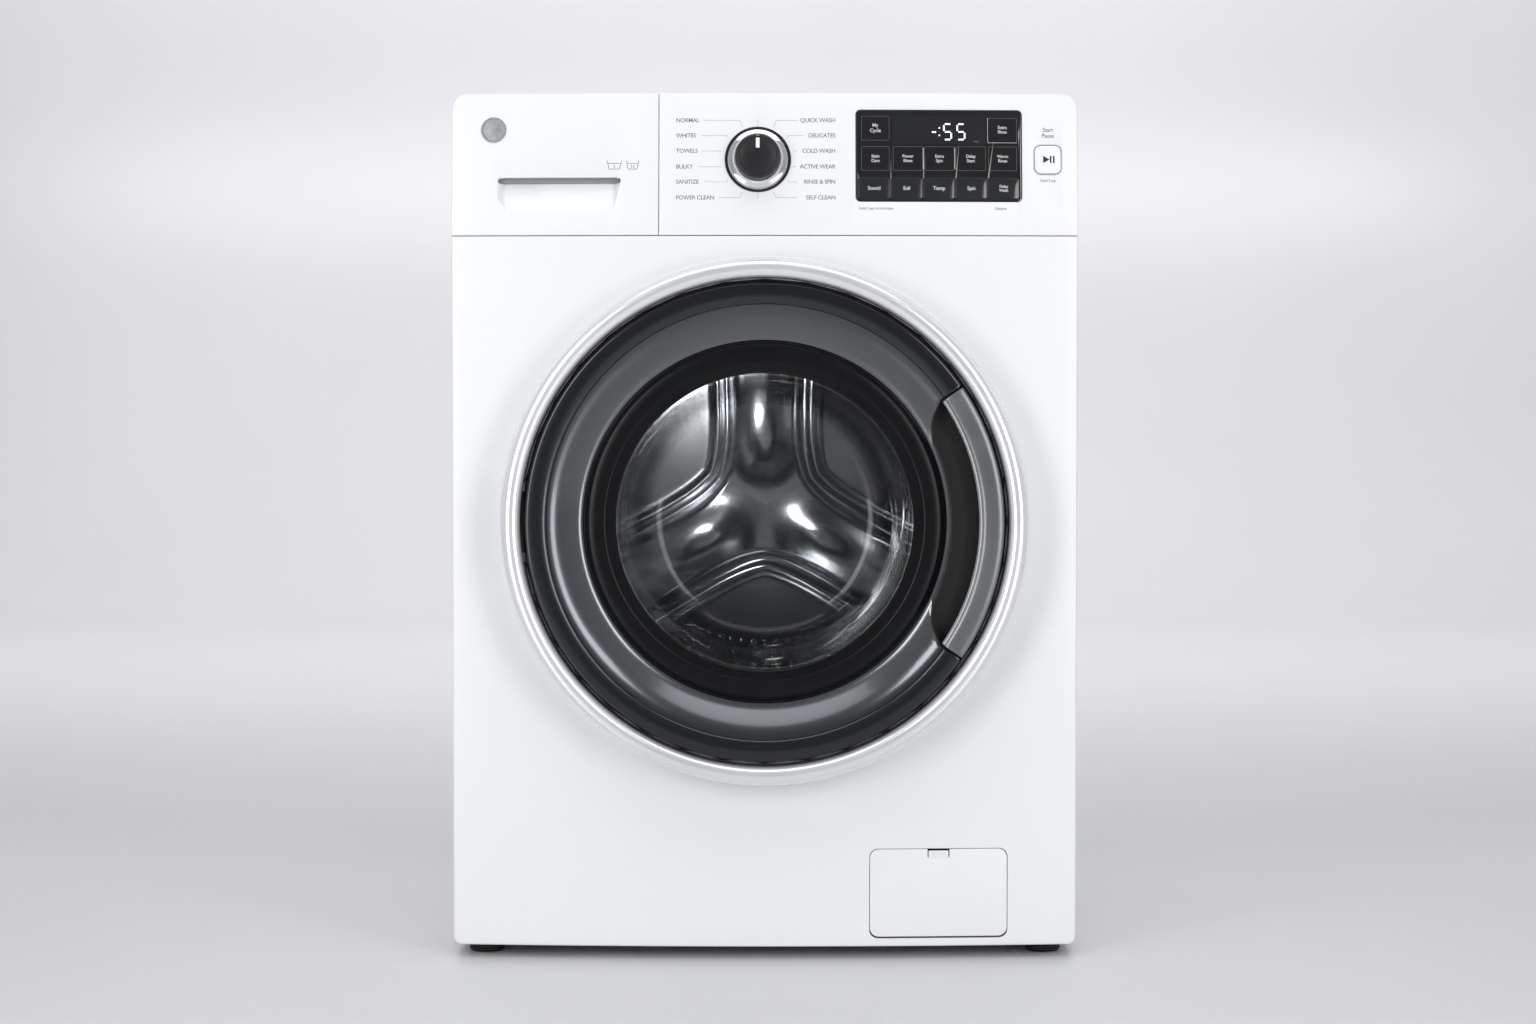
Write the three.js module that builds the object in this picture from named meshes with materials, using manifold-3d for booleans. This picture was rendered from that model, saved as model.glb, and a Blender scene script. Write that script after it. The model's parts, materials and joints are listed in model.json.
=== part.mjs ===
// Front load washing machine: cabinet, control fascia, dispenser drawer, round door,
// sprung tub with a belt-driven drum, pump and levelling feet.
// Millimetres, +Z up, the front faces -Y, origin on the floor under the middle of the machine.
import * as THREE from "three";
import { mergeVertices } from "three/addons/utils/BufferGeometryUtils.js";
import Module from "manifold-3d";

const wasm = await Module();
wasm.setup();

// ---- overall sizes
const CABINET_WIDTH = 600;
const OVERALL_HEIGHT = 830;
const SIDE_DEPTH = 545; // side wall, from the front corner to the rear
const FRONT_BOW = 15; // how far the middle of the front stands before its corners
const DOOR_PROUD = 45;
const REAR_PROUD = 20;
const FLOOR_GAP = 12;

// ---- cabinet
const SHEET = 1.2;
const CLEAR = 0.4; // between pieces that touch
const SEAM = 0.6; // visible gap between outer panels
const FASCIA_HEIGHT = 136.5;
const FASCIA_LEAN = 7; // degrees, backwards
const FASCIA_WALL = 3;
const RETURN_DEPTH = 30; // how far front panel and fascia wrap round the corner
const FLANGE = 18;
const TOP_THICKNESS = 18;
const TOP_CORNER = 14.5;
const TOP_WALL = 2;
const BOTTOM_CORNER = 8;
const TRAY_WALL = 1.5;
const TRAY_HEIGHT = 28;
const ACCESS_WIDTH = 300;
const ACCESS_PROUD = 10;

// ---- door
const DOOR_RADIUS = 249;
const AXIS_DROP = 272.5; // door and tub axis below the seam
const RING_WIDTH = 17.5;
const RING_WALL = 2.5;
const RING_GAP = 4;
const TRIM_WIDTH = 55;
const TRIM_WALL = 3;
const GLASS_FLANGE = 31;
const GLASS_WALL = 4.5;
const BOWL_DEPTH = 112;
const BOWL_TAPER = 24;
const LAND_PROUD = 1.5;
const LAND_MARGIN = 4;
const DOOR_BACK_GAP = 1.6;
const PORT_LAP = 7.5; // the glass reaches this far past the port's edge
const PORT_LIP = 14;
const GRIP_WIDTH = 23.7;
const GRIP_DEPTH = 12;
const GRIP_ANGLE = 34.5;
const RECESS_ANGLE = 36;
const HINGE_INSET = 11; // hinge axis inside the ring's outer edge
const HINGE_DEPTH = 19; // hinge axis in front of the land
const HINGE_PIN = 3.5;
const HINGE_BARREL = 5.6;
const HINGE_HALF = 29;
const HINGE_ARM = 8;
const HOOK_HALF = 6;

// ---- controls, measured from the right edge and up from the seam
const DISPLAY_WIDTH = 159;
const DISPLAY_HEIGHT = 87.6;
const DISPLAY_MARGIN = 54;
const DISPLAY_RISE = 32.5;
const DISPLAY_CORNER = 4.5;
const KEY_COUNT = 5;
const KEY_WIDTH = 29.6;
const KEY_HEIGHT = 20.4;
const KEY_PITCH = 31;
const KEY_MARGIN = 2.5;
const KEY_DEPTH = 6;
const KEY_CORNER = 2;
const BUTTON_WIDTH = 25.3;
const BUTTON_HEIGHT = 27;
const BUTTON_CORNER = 6;
const BUTTON_MARGIN = 29;
const BUTTON_RISE = 73;
const BUTTON_DEPTH = 8;
const BUTTON_PROUD = 1.5;
const KEY_PROUD = 0.4;
const POCKET_DEPTH = 11;
const KNOB_X = -6.5;
const KNOB_RISE = 72.5;
const KNOB_RADIUS = 28.3;
const KNOB_CAP = 21.5;
const KNOB_HEIGHT = 22;
const KNOB_SHAFT = 4;

// ---- dispenser drawer
const DRAWER_WIDTH = 199;
const DRAWER_LENGTH = 260;
const DRAWER_WALL = 2.5;
const DRAWER_DEPTH = 78;
const DRAWER_SIDE = 20;
const RECESS_WIDTH = 125;
const RECESS_HEIGHT = 32.6;
const RECESS_LEFT = 41;
const RECESS_RISE = 23.5;
const RECESS_DEPTH = 19;

// ---- tub and drum, both on the door's axis
const TUB_RADIUS = 256; // inner
const TUB_WALL = 4;
const TUB_FLANGE = 6;
const TUB_FRONT_GAP = 62; // from the foremost panel line to the tub's front wall
const TUB_LENGTH = 402;
const TUB_SPLIT = 145; // from the front wall to the joint of the two halves
const DRUM_GAP = 16;
const DRUM_SHEET = 1.2;
const DRUM_FRONT_GAP = 12;
const DRUM_BACK_GAP = 30;
const DRUM_LIP = 7;
const LIFTER_COUNT = 3;
const LIFTER_WIDTH = 56;
const LIFTER_HEIGHT = 58;
const LIFTER_MARGIN = 28;
const SHAFT_RADIUS = 15;
const BEARING_RADIUS = 36;
const BEARING_WIDTH = 17;
const HUB_LENGTH = 46;
const SHAFT_REACH = 64; // behind the tub's back wall
const PULLEY_RADIUS = 140;
const MOTOR_PULLEY_RADIUS = 14;
const PULLEY_WIDTH = 18;
const BELT_WIDTH = 14;
const BELT_THICKNESS = 4;
const MOTOR_RADIUS = 56;
const MOTOR_LENGTH = 118;
const MOTOR_GAP = 8;
const RUN_GAP = 0.3;
const WEIGHT_WIDTH = 300;
const WEIGHT_GAP = 6;
const WEIGHT_HEIGHT = 52;
const RING_WEIGHT_WIDTH = 62;
const RING_WEIGHT_DEPTH = 18;
const FLOAT_TRAVEL = 12;

// ---- suspension, pump, hoses, feet
const SPRING_RADIUS = 14;
const SPRING_WIRE = 2;
const SPRING_TURNS = 9;
const SPRING_X = 225;
const SPRING_Y = 110;
const DAMPER_X = 190;
const DAMPER_RADIUS = 14;
const ROD_RADIUS = 5;
const DAMPER_LENGTH = 100;
const FLAP_WIDTH = 132;
const FLAP_HEIGHT = 84.3;
const FLAP_MARGIN = 67;
const FLAP_RISE = 9.5;
const FLAP_CORNER = 8.4;
const FLAP_GAP = 1.7; // at its hinged lower edge
const FLAP_WALL = 2.5;
const FILTER_RADIUS = 25;
const FILTER_RISE = 63;
const PUMP_RADIUS = 42;
const HOSE_RADIUS = 20;
const FOOT_RADIUS = 17;
const FOOT_PAD = 10;
const FOOT_STEM = 5;
const FOOT_MARGIN = 29;
const FOOT_HEIGHT = 38;
const FOOT_FRONT_INSET = 42;
const FOOT_REAR_INSET = 35;
const VALVE_RADIUS = 13;

// ---- places that follow from the sizes
const HALF = CABINET_WIDTH / 2;
const FRONT_Y = DOOR_PROUD - (DOOR_PROUD + FRONT_BOW + SIDE_DEPTH + REAR_PROUD) / 2;
const CORNER_Y = FRONT_Y + FRONT_BOW;
const RETURN_Y = CORNER_Y + RETURN_DEPTH;
const REAR_Y = CORNER_Y + SIDE_DEPTH;
const SEAM_Z = OVERALL_HEIGHT - FASCIA_HEIGHT;
const TOP_Z = OVERALL_HEIGHT - TOP_THICKNESS;
const LEAN = Math.tan(THREE.MathUtils.degToRad(FASCIA_LEAN));
const DOOR_Z = SEAM_Z - AXIS_DROP;
const RING_INNER = DOOR_RADIUS - RING_WIDTH;
const TRIM_OUTER = RING_INNER - RING_GAP;
const TRIM_INNER = TRIM_OUTER - TRIM_WIDTH;
const GLASS_OUTER = TRIM_INNER - 0.5;
const BOWL_OUTER = GLASS_OUTER - GLASS_FLANGE;
const PORT_RADIUS = TRIM_INNER - PORT_LAP;
const LAND_Y = FRONT_Y - LAND_PROUD;
const DOOR_BACK_Y = LAND_Y - DOOR_BACK_GAP;
const DOOR_FRONT_Y = FRONT_Y - DOOR_PROUD;
const GRIP_OUTER = TRIM_OUTER - 0.8;
const GRIP_INNER = GRIP_OUTER - GRIP_WIDTH;
const HINGE_X = HINGE_INSET - DOOR_RADIUS;
const HINGE_Y = LAND_Y - HINGE_DEPTH;
const HOOK_X = GRIP_INNER + GRIP_WIDTH / 2 - 2;
const SPLIT_X = DRAWER_WIDTH - HALF;
const TUB_FRONT_Y = FRONT_Y + TUB_FRONT_GAP;
const TUB_BACK_Y = TUB_FRONT_Y + TUB_LENGTH;
const SPLIT_Y = TUB_FRONT_Y + TUB_SPLIT;
const TUB_OUTER = TUB_RADIUS + TUB_WALL;
const DRUM_RADIUS = TUB_RADIUS - DRUM_GAP;
const DRUM_FRONT_Y = TUB_FRONT_Y + DRUM_FRONT_GAP;
const DRUM_BACK_Y = TUB_BACK_Y - DRUM_BACK_GAP;
const MOUTH_RADIUS = PORT_RADIUS - 5;
const SHAFT_END_Y = TUB_BACK_Y + SHAFT_REACH;
const BELT_Y = TUB_BACK_Y + 54;
const MOTOR_Z = DOOR_Z - TUB_OUTER - MOTOR_GAP - MOTOR_RADIUS;
const FLAP_X = HALF - FLAP_MARGIN - FLAP_WIDTH / 2;
const FLAP_Z = FLOOR_GAP + FLAP_RISE;
const RING_FACETS = 36;
const SMALL_FACETS = 20;
const CORNER_STEPS = 3;

// ---- finishes
const finish = (color, roughness, metalness) =>
  new THREE.MeshStandardMaterial({ color, roughness, metalness });
const whitePaint = finish(0xeceef0, 0.35, 0.0);
const whitePlastic = finish(0xf0f1f3, 0.3, 0.0);
const chrome = finish(0xd9dcdf, 0.12, 1.0);
const smokedChrome = finish(0x4b4e52, 0.2, 0.8);
const blackPlastic = finish(0x17181a, 0.45, 0.0);
const blackGloss = finish(0x0b0c0f, 0.08, 0.0);
const satinGrey = finish(0x8b8e91, 0.4, 0.4);
const greyRubber = finish(0x55585b, 0.8, 0.0);
const blackRubber = finish(0x141414, 0.85, 0.0);
const clearGlass = finish(0xaab4b8, 0.05, 0.0);
const stainless = finish(0xc4c7c9, 0.25, 1.0);
const galvanised = finish(0xa7abad, 0.45, 0.9);
const castAluminium = finish(0x9da0a2, 0.5, 0.9);
const concrete = finish(0x8d8b86, 0.9, 0.0);
const greyPlastic = finish(0xb9bcbd, 0.5, 0.0);
const tubPlastic = finish(0xcfd0cc, 0.55, 0.0);
const steel = finish(0x8f9294, 0.35, 1.0);

// ---- solids
function solid(geometry) {
  const bare = new THREE.BufferGeometry();
  bare.setAttribute("position", geometry.getAttribute("position"));
  bare.setIndex(geometry.index);
  const merged = mergeVertices(bare, 1e-4);
  const vertProperties = new Float32Array(merged.attributes.position.array);
  const triVerts = new Uint32Array(merged.index.array);
  return new wasm.Manifold(new wasm.Mesh({ numProp: 3, vertProperties, triVerts }));
}

function surface(body) {
  const mesh = body.getMesh();
  const geometry = new THREE.BufferGeometry();
  geometry.setAttribute("position", new THREE.BufferAttribute(mesh.vertProperties, 3));
  geometry.setIndex(new THREE.BufferAttribute(mesh.triVerts, 1));
  geometry.computeVertexNormals();
  return geometry;
}

function box(x0, x1, y0, y1, z0, z1) {
  const geometry = new THREE.BoxGeometry(x1 - x0, y1 - y0, z1 - z0);
  return solid(geometry.translate((x0 + x1) / 2, (y0 + y1) / 2, (z0 + z1) / 2));
}

function signedArea(points) {
  let area = 0;
  points.forEach(([x, y], i) => {
    const [nextX, nextY] = points[(i + 1) % points.length];
    area += x * nextY - nextX * y;
  });
  return area / 2;
}

// Closed [radius, height] outline turned about +Y.
function turnedY(points, facets = RING_FACETS) {
  const order = signedArea(points) > 0 ? points : [...points].reverse();
  const outline = [...order, order[0]].map(([r, y]) => new THREE.Vector2(r, y));
  return solid(new THREE.LatheGeometry(outline, facets));
}

// The same about a vertical axis at x, y.
function turnedZ(points, x, y, facets = SMALL_FACETS) {
  const order = signedArea(points) > 0 ? points : [...points].reverse();
  const outline = [...order, order[0]].map(([r, z]) => new THREE.Vector2(r, z));
  const geometry = new THREE.LatheGeometry(outline, facets);
  return solid(geometry.rotateX(Math.PI / 2).translate(x, y, 0));
}

const ringOutline = (inner, outer, y0, y1) => [[inner, y0], [outer, y0], [outer, y1], [inner, y1]];
const ringY = (inner, outer, y0, y1, facets) => turnedY(ringOutline(inner, outer, y0, y1), facets);

// Front view outline with corner radii [bottom left, bottom right, top right, top left].
function plateOutline(x0, x1, z0, z1, radii = [0, 0, 0, 0]) {
  const corners = [[x0, z0, 1, 1, 180], [x1, z0, -1, 1, 270], [x1, z1, -1, -1, 0], [x0, z1, 1, -1, 90]];
  const shape = new THREE.Shape();
  corners.forEach(([x, z, inX, inZ, start], i) => {
    const radius = radii[i];
    const steps = radius > 0 ? CORNER_STEPS : 0;
    for (let step = 0; step <= steps; step += 1) {
      const turn = THREE.MathUtils.degToRad(start + (steps ? (90 * step) / steps : 0));
      const px = x + inX * radius + radius * Math.cos(turn);
      const pz = z + inZ * radius + radius * Math.sin(turn);
      if (i === 0 && step === 0) shape.moveTo(px, pz);
      else shape.lineTo(px, pz);
    }
  });
  shape.closePath();
  return shape;
}

// Front view shape pushed back along +Y from y0 to y1.
function prismY(shape, y0, y1) {
  const geometry = new THREE.ExtrudeGeometry(shape, { depth: y1 - y0, bevelEnabled: false });
  const position = geometry.getAttribute("position");
  const indexes = Array.from({ length: position.count }, (_, i) => i);
  geometry.setIndex(indexes);
  return solid(geometry.rotateX(Math.PI / 2).translate(0, y1, 0));
}

// Plan view shape [x, y] raised along +Z.
function prismZ(points, z0, z1) {
  const shape = new THREE.Shape(points.map(([x, y]) => new THREE.Vector2(x, y)));
  const geometry = new THREE.ExtrudeGeometry(shape, { depth: z1 - z0, bevelEnabled: false });
  const indexes = Array.from({ length: geometry.getAttribute("position").count }, (_, i) => i);
  geometry.setIndex(indexes);
  return solid(geometry.translate(0, 0, z0));
}

// The front's surface: bowed in plan, leaning back above the fascia seam.
const faceY = (x, z) => FRONT_Y + FRONT_BOW * (x / HALF) ** 2 + LEAN * Math.max(0, z - SEAM_Z);

// Block whose front follows the front's surface, set back by inset, and whose back is flat.
function frontBlock(x0, x1, z0, z1, inset, backY, steps) {
  const geometry = new THREE.BoxGeometry(x1 - x0, 1, z1 - z0, steps, 1, 1);
  geometry.translate((x0 + x1) / 2, 0, (z0 + z1) / 2);
  const position = geometry.getAttribute("position");
  for (let i = 0; i < position.count; i += 1) {
    const onFront = position.getY(i) < 0;
    position.setY(i, onFront ? faceY(position.getX(i), position.getZ(i)) + inset : backY);
  }
  return solid(geometry);
}

// Plate of even thickness that follows the front's surface.
function frontPlate(shape, x0, x1, z0, z1, inset, thickness, steps) {
  const geometry = new THREE.BoxGeometry(x1 - x0, 1, z1 - z0, steps, 1, 1);
  geometry.translate((x0 + x1) / 2, 0, (z0 + z1) / 2);
  const position = geometry.getAttribute("position");
  for (let i = 0; i < position.count; i += 1) {
    const depth = position.getY(i) < 0 ? inset : inset + thickness;
    position.setY(i, faceY(position.getX(i), position.getZ(i)) + depth);
  }
  return solid(geometry).intersect(prismY(shape, DOOR_FRONT_Y, 0));
}

// Place on the fascia, facing squarely out of it: position, and turn about Z then X.
function seat(x, z) {
  const frame = new THREE.Object3D();
  frame.position.set(x, faceY(x, z), z);
  frame.rotation.order = "ZXY";
  frame.rotation.z = Math.atan((2 * FRONT_BOW * x) / HALF ** 2);
  frame.rotation.x = -THREE.MathUtils.degToRad(FASCIA_LEAN);
  frame.updateMatrix();
  return frame;
}

function seated(body, x, z) {
  return solid(surface(body).applyMatrix4(seat(x, z).matrix));
}

function tube(points, radius, sides, steps) {
  const circle = new THREE.Shape();
  for (let i = 0; i <= sides; i += 1) {
    const turn = (2 * Math.PI * i) / sides;
    if (i === 0) circle.moveTo(radius, 0);
    else circle.lineTo(radius * Math.cos(turn), radius * Math.sin(turn));
  }
  const path = new THREE.CatmullRomCurve3(points.map((point) => new THREE.Vector3(...point)));
  const geometry = new THREE.ExtrudeGeometry(circle, { steps, extrudePath: path, bevelEnabled: false });
  const indexes = Array.from({ length: geometry.getAttribute("position").count }, (_, i) => i);
  geometry.setIndex(indexes);
  return solid(geometry);
}

const machine = new THREE.Group();

function add(name, body, material, parent = machine) {
  const mesh = new THREE.Mesh(surface(body), material);
  mesh.name = name;
  parent.add(mesh);
  return mesh;
}

// ---- cabinet
function frontPanel() {
  const z0 = FLOOR_GAP;
  const z1 = SEAM_Z - SEAM / 2;
  const corners = [BOTTOM_CORNER, BOTTOM_CORNER, 0, 0];
  const outline = plateOutline(-HALF, HALF, z0, z1, corners);
  const inner = frontBlock(-HALF + SHEET, HALF - SHEET, z0 + SHEET, z1 - SHEET, SHEET, RETURN_Y + 1, 12);
  const landRadius = DOOR_RADIUS + LAND_MARGIN;
  const land = ringY(0, landRadius, LAND_Y, CORNER_Y);
  const landInner = ringY(0, landRadius - SHEET, LAND_Y + SHEET, CORNER_Y + 1);
  const lip = ringY(PORT_RADIUS - 5, PORT_RADIUS + SHEET, LAND_Y + SHEET / 2, LAND_Y + PORT_LIP);
  const port = ringY(0, PORT_RADIUS, LAND_Y - 5, CORNER_Y + 5);
  const slot = (x0, x1, half) => box(x0, x1, LAND_Y - 2, LAND_Y + 4, -half, half);
  const arms = slot(HINGE_X - HINGE_BARREL - 1, HINGE_X + HINGE_BARREL + 1, HINGE_HALF + HINGE_ARM + 2);
  const latch = slot(HOOK_X - 13, HOOK_X + 13, HOOK_HALF + 3);
  const raise = (body) => solid(surface(body).translate(0, 0, DOOR_Z));
  const opening = plateOutline(
    FLAP_X - FLAP_WIDTH / 2 - SEAM,
    FLAP_X + FLAP_WIDTH / 2 + SEAM,
    FLAP_Z - FLAP_GAP,
    FLAP_Z + FLAP_HEIGHT + SEAM,
    [FLAP_CORNER, FLAP_CORNER, FLAP_CORNER, FLAP_CORNER],
  );
  return frontBlock(-HALF, HALF, z0, z1, 0, RETURN_Y, 12)
    .intersect(prismY(outline, DOOR_FRONT_Y, RETURN_Y + 1))
    .add(raise(land))
    .subtract(inner)
    .subtract(raise(landInner))
    .add(raise(lip))
    .subtract(raise(port))
    .subtract(raise(arms))
    .subtract(raise(latch))
    .subtract(prismY(opening, DOOR_FRONT_Y, CORNER_Y + 5));
}

function sidePanel(side) {
  const out = side * HALF;
  const inX = side * (HALF - SHEET);
  const flangeX = side * (HALF - FLANGE);
  const y0 = RETURN_Y + SEAM;
  const y1 = REAR_Y - SHEET - CLEAR;
  const plan = [
    [out, y0], [out, y1], [flangeX, y1], [flangeX, y1 - SHEET],
    [inX, y1 - SHEET], [inX, y0 + SHEET], [flangeX, y0 + SHEET], [flangeX, y0],
  ];
  return prismZ(plan, FLOOR_GAP, TOP_Z - CLEAR);
}

function rearPanel() {
  const plate = box(-HALF, HALF, REAR_Y - SHEET, REAR_Y, FLOOR_GAP, TOP_Z - CLEAR);
  const half = ACCESS_WIDTH / 2 - 20;
  const hatch = plateOutline(-half, half, DOOR_Z - half, DOOR_Z + half, [20, 20, 20, 20]);
  let panel = plate.subtract(prismY(hatch, REAR_Y - 5, REAR_Y + 5));
  for (const x of valvePlaces()) {
    const hole = ringY(0, VALVE_RADIUS + 1, REAR_Y - 5, REAR_Y + 5, SMALL_FACETS);
    panel = panel.subtract(solid(surface(hole).translate(x, 0, valveZ())));
  }
  return panel;
}

function accessCover() {
  const half = ACCESS_WIDTH / 2;
  const plate = (size, radius) =>
    plateOutline(-size, size, DOOR_Z - size, DOOR_Z + size, [radius, radius, radius, radius]);
  const y0 = REAR_Y + CLEAR;
  return prismY(plate(half, 20), y0, y0 + SHEET)
    .add(prismY(plate(half - 16, 16), y0, y0 + ACCESS_PROUD))
    .subtract(prismY(plate(half - 16 - SHEET, 15), y0 - 1, y0 + ACCESS_PROUD - SHEET));
}

function baseTray() {
  const x = HALF - SHEET - CLEAR;
  const y0 = RETURN_Y + SEAM + SHEET + CLEAR;
  const y1 = REAR_Y - 2 * SHEET - 2 * CLEAR;
  let tray = box(-x, x, y0, y1, FLOOR_GAP, FLOOR_GAP + TRAY_HEIGHT).subtract(
    box(-x + TRAY_WALL, x - TRAY_WALL, y0 + TRAY_WALL, y1 - TRAY_WALL, FLOOR_GAP + TRAY_WALL, OVERALL_HEIGHT),
  );
  tray = tray.subtract(box(FLAP_X - 50, FLAP_X + 50, y0 - 1, y0 + TRAY_WALL + 1, FLOOR_GAP + 16, TOP_Z));
  for (const [x0, footY] of footPlaces()) {
    tray = tray.subtract(turnedZ([[0, 0], [FOOT_STEM + 1, 0], [FOOT_STEM + 1, 20], [0, 20]], x0, footY));
  }
  return tray;
}

function topPanel() {
  const y0 = RETURN_Y + SEAM;
  const outer = plateOutline(-HALF, HALF, TOP_Z, OVERALL_HEIGHT, [0, 0, TOP_CORNER, TOP_CORNER]);
  const x = HALF - TOP_WALL;
  const radius = TOP_CORNER - TOP_WALL;
  const inner = plateOutline(-x, x, TOP_Z - 5, OVERALL_HEIGHT - TOP_WALL, [0, 0, radius, radius]);
  return prismY(outer, y0, REAR_Y).subtract(prismY(inner, y0 + TOP_WALL, REAR_Y - TOP_WALL));
}

// ---- control fascia and drawer front: one bowed, leaning shell split beside the drawer
function fasciaShell(x0, x1, radii) {
  const z0 = SEAM_Z + SEAM / 2;
  const z1 = OVERALL_HEIGHT;
  const wall = FASCIA_WALL;
  const innerRadii = radii.map((radius) => Math.max(0, radius - wall));
  const outline = plateOutline(x0, x1, z0, z1, radii);
  const innerOutline = plateOutline(x0 + wall, x1 - wall, z0 + wall, z1 - wall, innerRadii);
  const steps = Math.max(4, Math.round((x1 - x0) / 50));
  const outer = frontBlock(x0, x1, z0, z1, 0, RETURN_Y, steps);
  const inner = frontBlock(x0, x1, z0, z1, wall, RETURN_Y + 1, steps);
  return outer
    .intersect(prismY(outline, DOOR_FRONT_Y, RETURN_Y + 1))
    .subtract(inner.intersect(prismY(innerOutline, DOOR_FRONT_Y, RETURN_Y + 2)));
}

const displayX = () => HALF - DISPLAY_MARGIN - DISPLAY_WIDTH / 2;
const displayZ = () => SEAM_Z + DISPLAY_RISE + DISPLAY_HEIGHT / 2;
const buttonPlace = () => [HALF - BUTTON_MARGIN, SEAM_Z + BUTTON_RISE];

function keyPlaces() {
  const first = displayX() - ((KEY_COUNT - 1) / 2) * KEY_PITCH;
  const z = SEAM_Z + DISPLAY_RISE + KEY_MARGIN + KEY_HEIGHT / 2;
  return Array.from({ length: KEY_COUNT }, (_, i) => [first + i * KEY_PITCH, z]);
}

function displayOutline(margin) {
  const halfX = DISPLAY_WIDTH / 2 + margin;
  const halfZ = DISPLAY_HEIGHT / 2 + margin;
  const radii = Array(4).fill(DISPLAY_CORNER + margin);
  return plateOutline(displayX() - halfX, displayX() + halfX, displayZ() - halfZ, displayZ() + halfZ, radii);
}

// Rounded key standing on its own seat: the front at -proud, the back at depth.
function keyBody(width, height, corner, proud, depth) {
  const radii = Array(4).fill(corner);
  return prismY(plateOutline(-width / 2, width / 2, -height / 2, height / 2, radii), -proud, depth);
}

function controlFascia() {
  const [buttonX, buttonZ] = buttonPlace();
  const buttonHole = keyBody(BUTTON_WIDTH + 1, BUTTON_HEIGHT + 1, BUTTON_CORNER, 10, 20);
  const shaftHole = ringY(0, KNOB_SHAFT + 2, -10, 10, SMALL_FACETS);
  return fasciaShell(SPLIT_X + SEAM / 2, HALF, [0, 0, TOP_CORNER, 0])
    .subtract(prismY(displayOutline(CLEAR), DOOR_FRONT_Y, RETURN_Y - 3))
    .subtract(seated(buttonHole, buttonX, buttonZ))
    .subtract(seated(shaftHole, KNOB_X, SEAM_Z + KNOB_RISE));
}

// Glossy panel with its electronics box behind; the keys sink into pockets in it.
function displayModule() {
  const halfX = DISPLAY_WIDTH / 2;
  const halfZ = DISPLAY_HEIGHT / 2;
  const x0 = displayX() - halfX;
  const x1 = displayX() + halfX;
  const z0 = displayZ() - halfZ;
  const z1 = displayZ() + halfZ;
  const steps = 6;
  const panel = frontPlate(displayOutline(0), x0, x1, z0, z1, CLEAR, 16, steps);
  const board = box(KNOB_X + 45, HALF - 12, RETURN_Y + 2, RETURN_Y + 22, z0 - 6, z1 - 2);
  const neck = box(x0 + 4, x1 - 4, faceY(displayX(), z1) + 6, RETURN_Y + 3, z0 + 4, z1 - 4);
  let module = panel.add(neck).add(board);
  for (const [x, z] of keyPlaces()) {
    const pocket = keyBody(KEY_WIDTH + 1, KEY_HEIGHT + 1, KEY_CORNER, 5, POCKET_DEPTH);
    module = module.subtract(seated(pocket, x, z));
  }
  return module;
}

// Knob turned about its own axis, the fascia at 0, front towards -Y.
function programKnob() {
  return turnedY(
    [
      [0, 16], [KNOB_SHAFT, 16], [KNOB_SHAFT, -0.8], [KNOB_RADIUS, -0.8], [KNOB_RADIUS, -5],
      [KNOB_CAP + 1.5, -8], [KNOB_CAP, -KNOB_HEIGHT + 2], [KNOB_CAP - 2, -KNOB_HEIGHT], [0, -KNOB_HEIGHT],
    ],
    SMALL_FACETS,
  );
}

function drawerFront() {
  const x0 = -HALF + RECESS_LEFT;
  const x1 = x0 + RECESS_WIDTH;
  const z0 = SEAM_Z + RECESS_RISE;
  const z1 = z0 + RECESS_HEIGHT;
  const wall = FASCIA_WALL;
  const radii = [7, 7, 3, 3];
  const cup = frontPlate(
    plateOutline(x0 - wall, x1 + wall, z0 - wall, z1 + wall, radii),
    x0 - wall, x1 + wall, z0 - wall, z1 + wall, wall / 2, RECESS_DEPTH + wall / 2, 4,
  );
  const hollow = frontPlate(plateOutline(x0, x1, z0, z1, radii), x0, x1, z0, z1, -3, RECESS_DEPTH + 3, 4);
  return fasciaShell(-HALF, SPLIT_X - SEAM / 2, [0, 0, 0, TOP_CORNER]).add(cup).subtract(hollow);
}

function drawerSpan() {
  return { x0: -HALF + DRAWER_SIDE, x1: SPLIT_X - DRAWER_SIDE, z0: SEAM_Z + 12 };
}

function drawerTray() {
  const { x0, x1, z0 } = drawerSpan();
  const y0 = RETURN_Y + CLEAR;
  const y1 = y0 + DRAWER_LENGTH;
  const wall = DRAWER_WALL;
  const z1 = z0 + DRAWER_DEPTH;
  const middle = y0 + DRAWER_LENGTH * 0.42;
  const third = x0 + (x1 - x0) * 0.62;
  const cup = (left, right, front, back) => box(left, right, front, back, z0 + wall, z1 + 5);
  return box(x0, x1, y0, y1, z0, z1)
    .subtract(cup(x0 + wall, third - wall / 2, y0 + wall, y1 - wall))
    .subtract(cup(third + wall / 2, x1 - wall, y0 + wall, middle - wall / 2))
    .subtract(cup(third + wall / 2, x1 - wall, middle + wall / 2, y1 - wall));
}

function dispenserHousing() {
  const { x0, x1, z0 } = drawerSpan();
  const gap = 3;
  const wall = DRAWER_WALL;
  const y0 = RETURN_Y + SEAM + SHEET + CLEAR;
  const y1 = y0 + DRAWER_LENGTH + 12;
  const z1 = z0 + DRAWER_DEPTH + 8;
  return box(x0 - gap - wall, x1 + gap + wall, y0, y1, z0 - gap - wall, z1 + wall).subtract(
    box(x0 - gap, x1 + gap, y0 - 1, y1 - wall, z0 - gap, z1),
  );
}

const valvePlaces = () => [HALF - 105, HALF - 55];
const valveZ = () => TOP_Z - 42;

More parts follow.
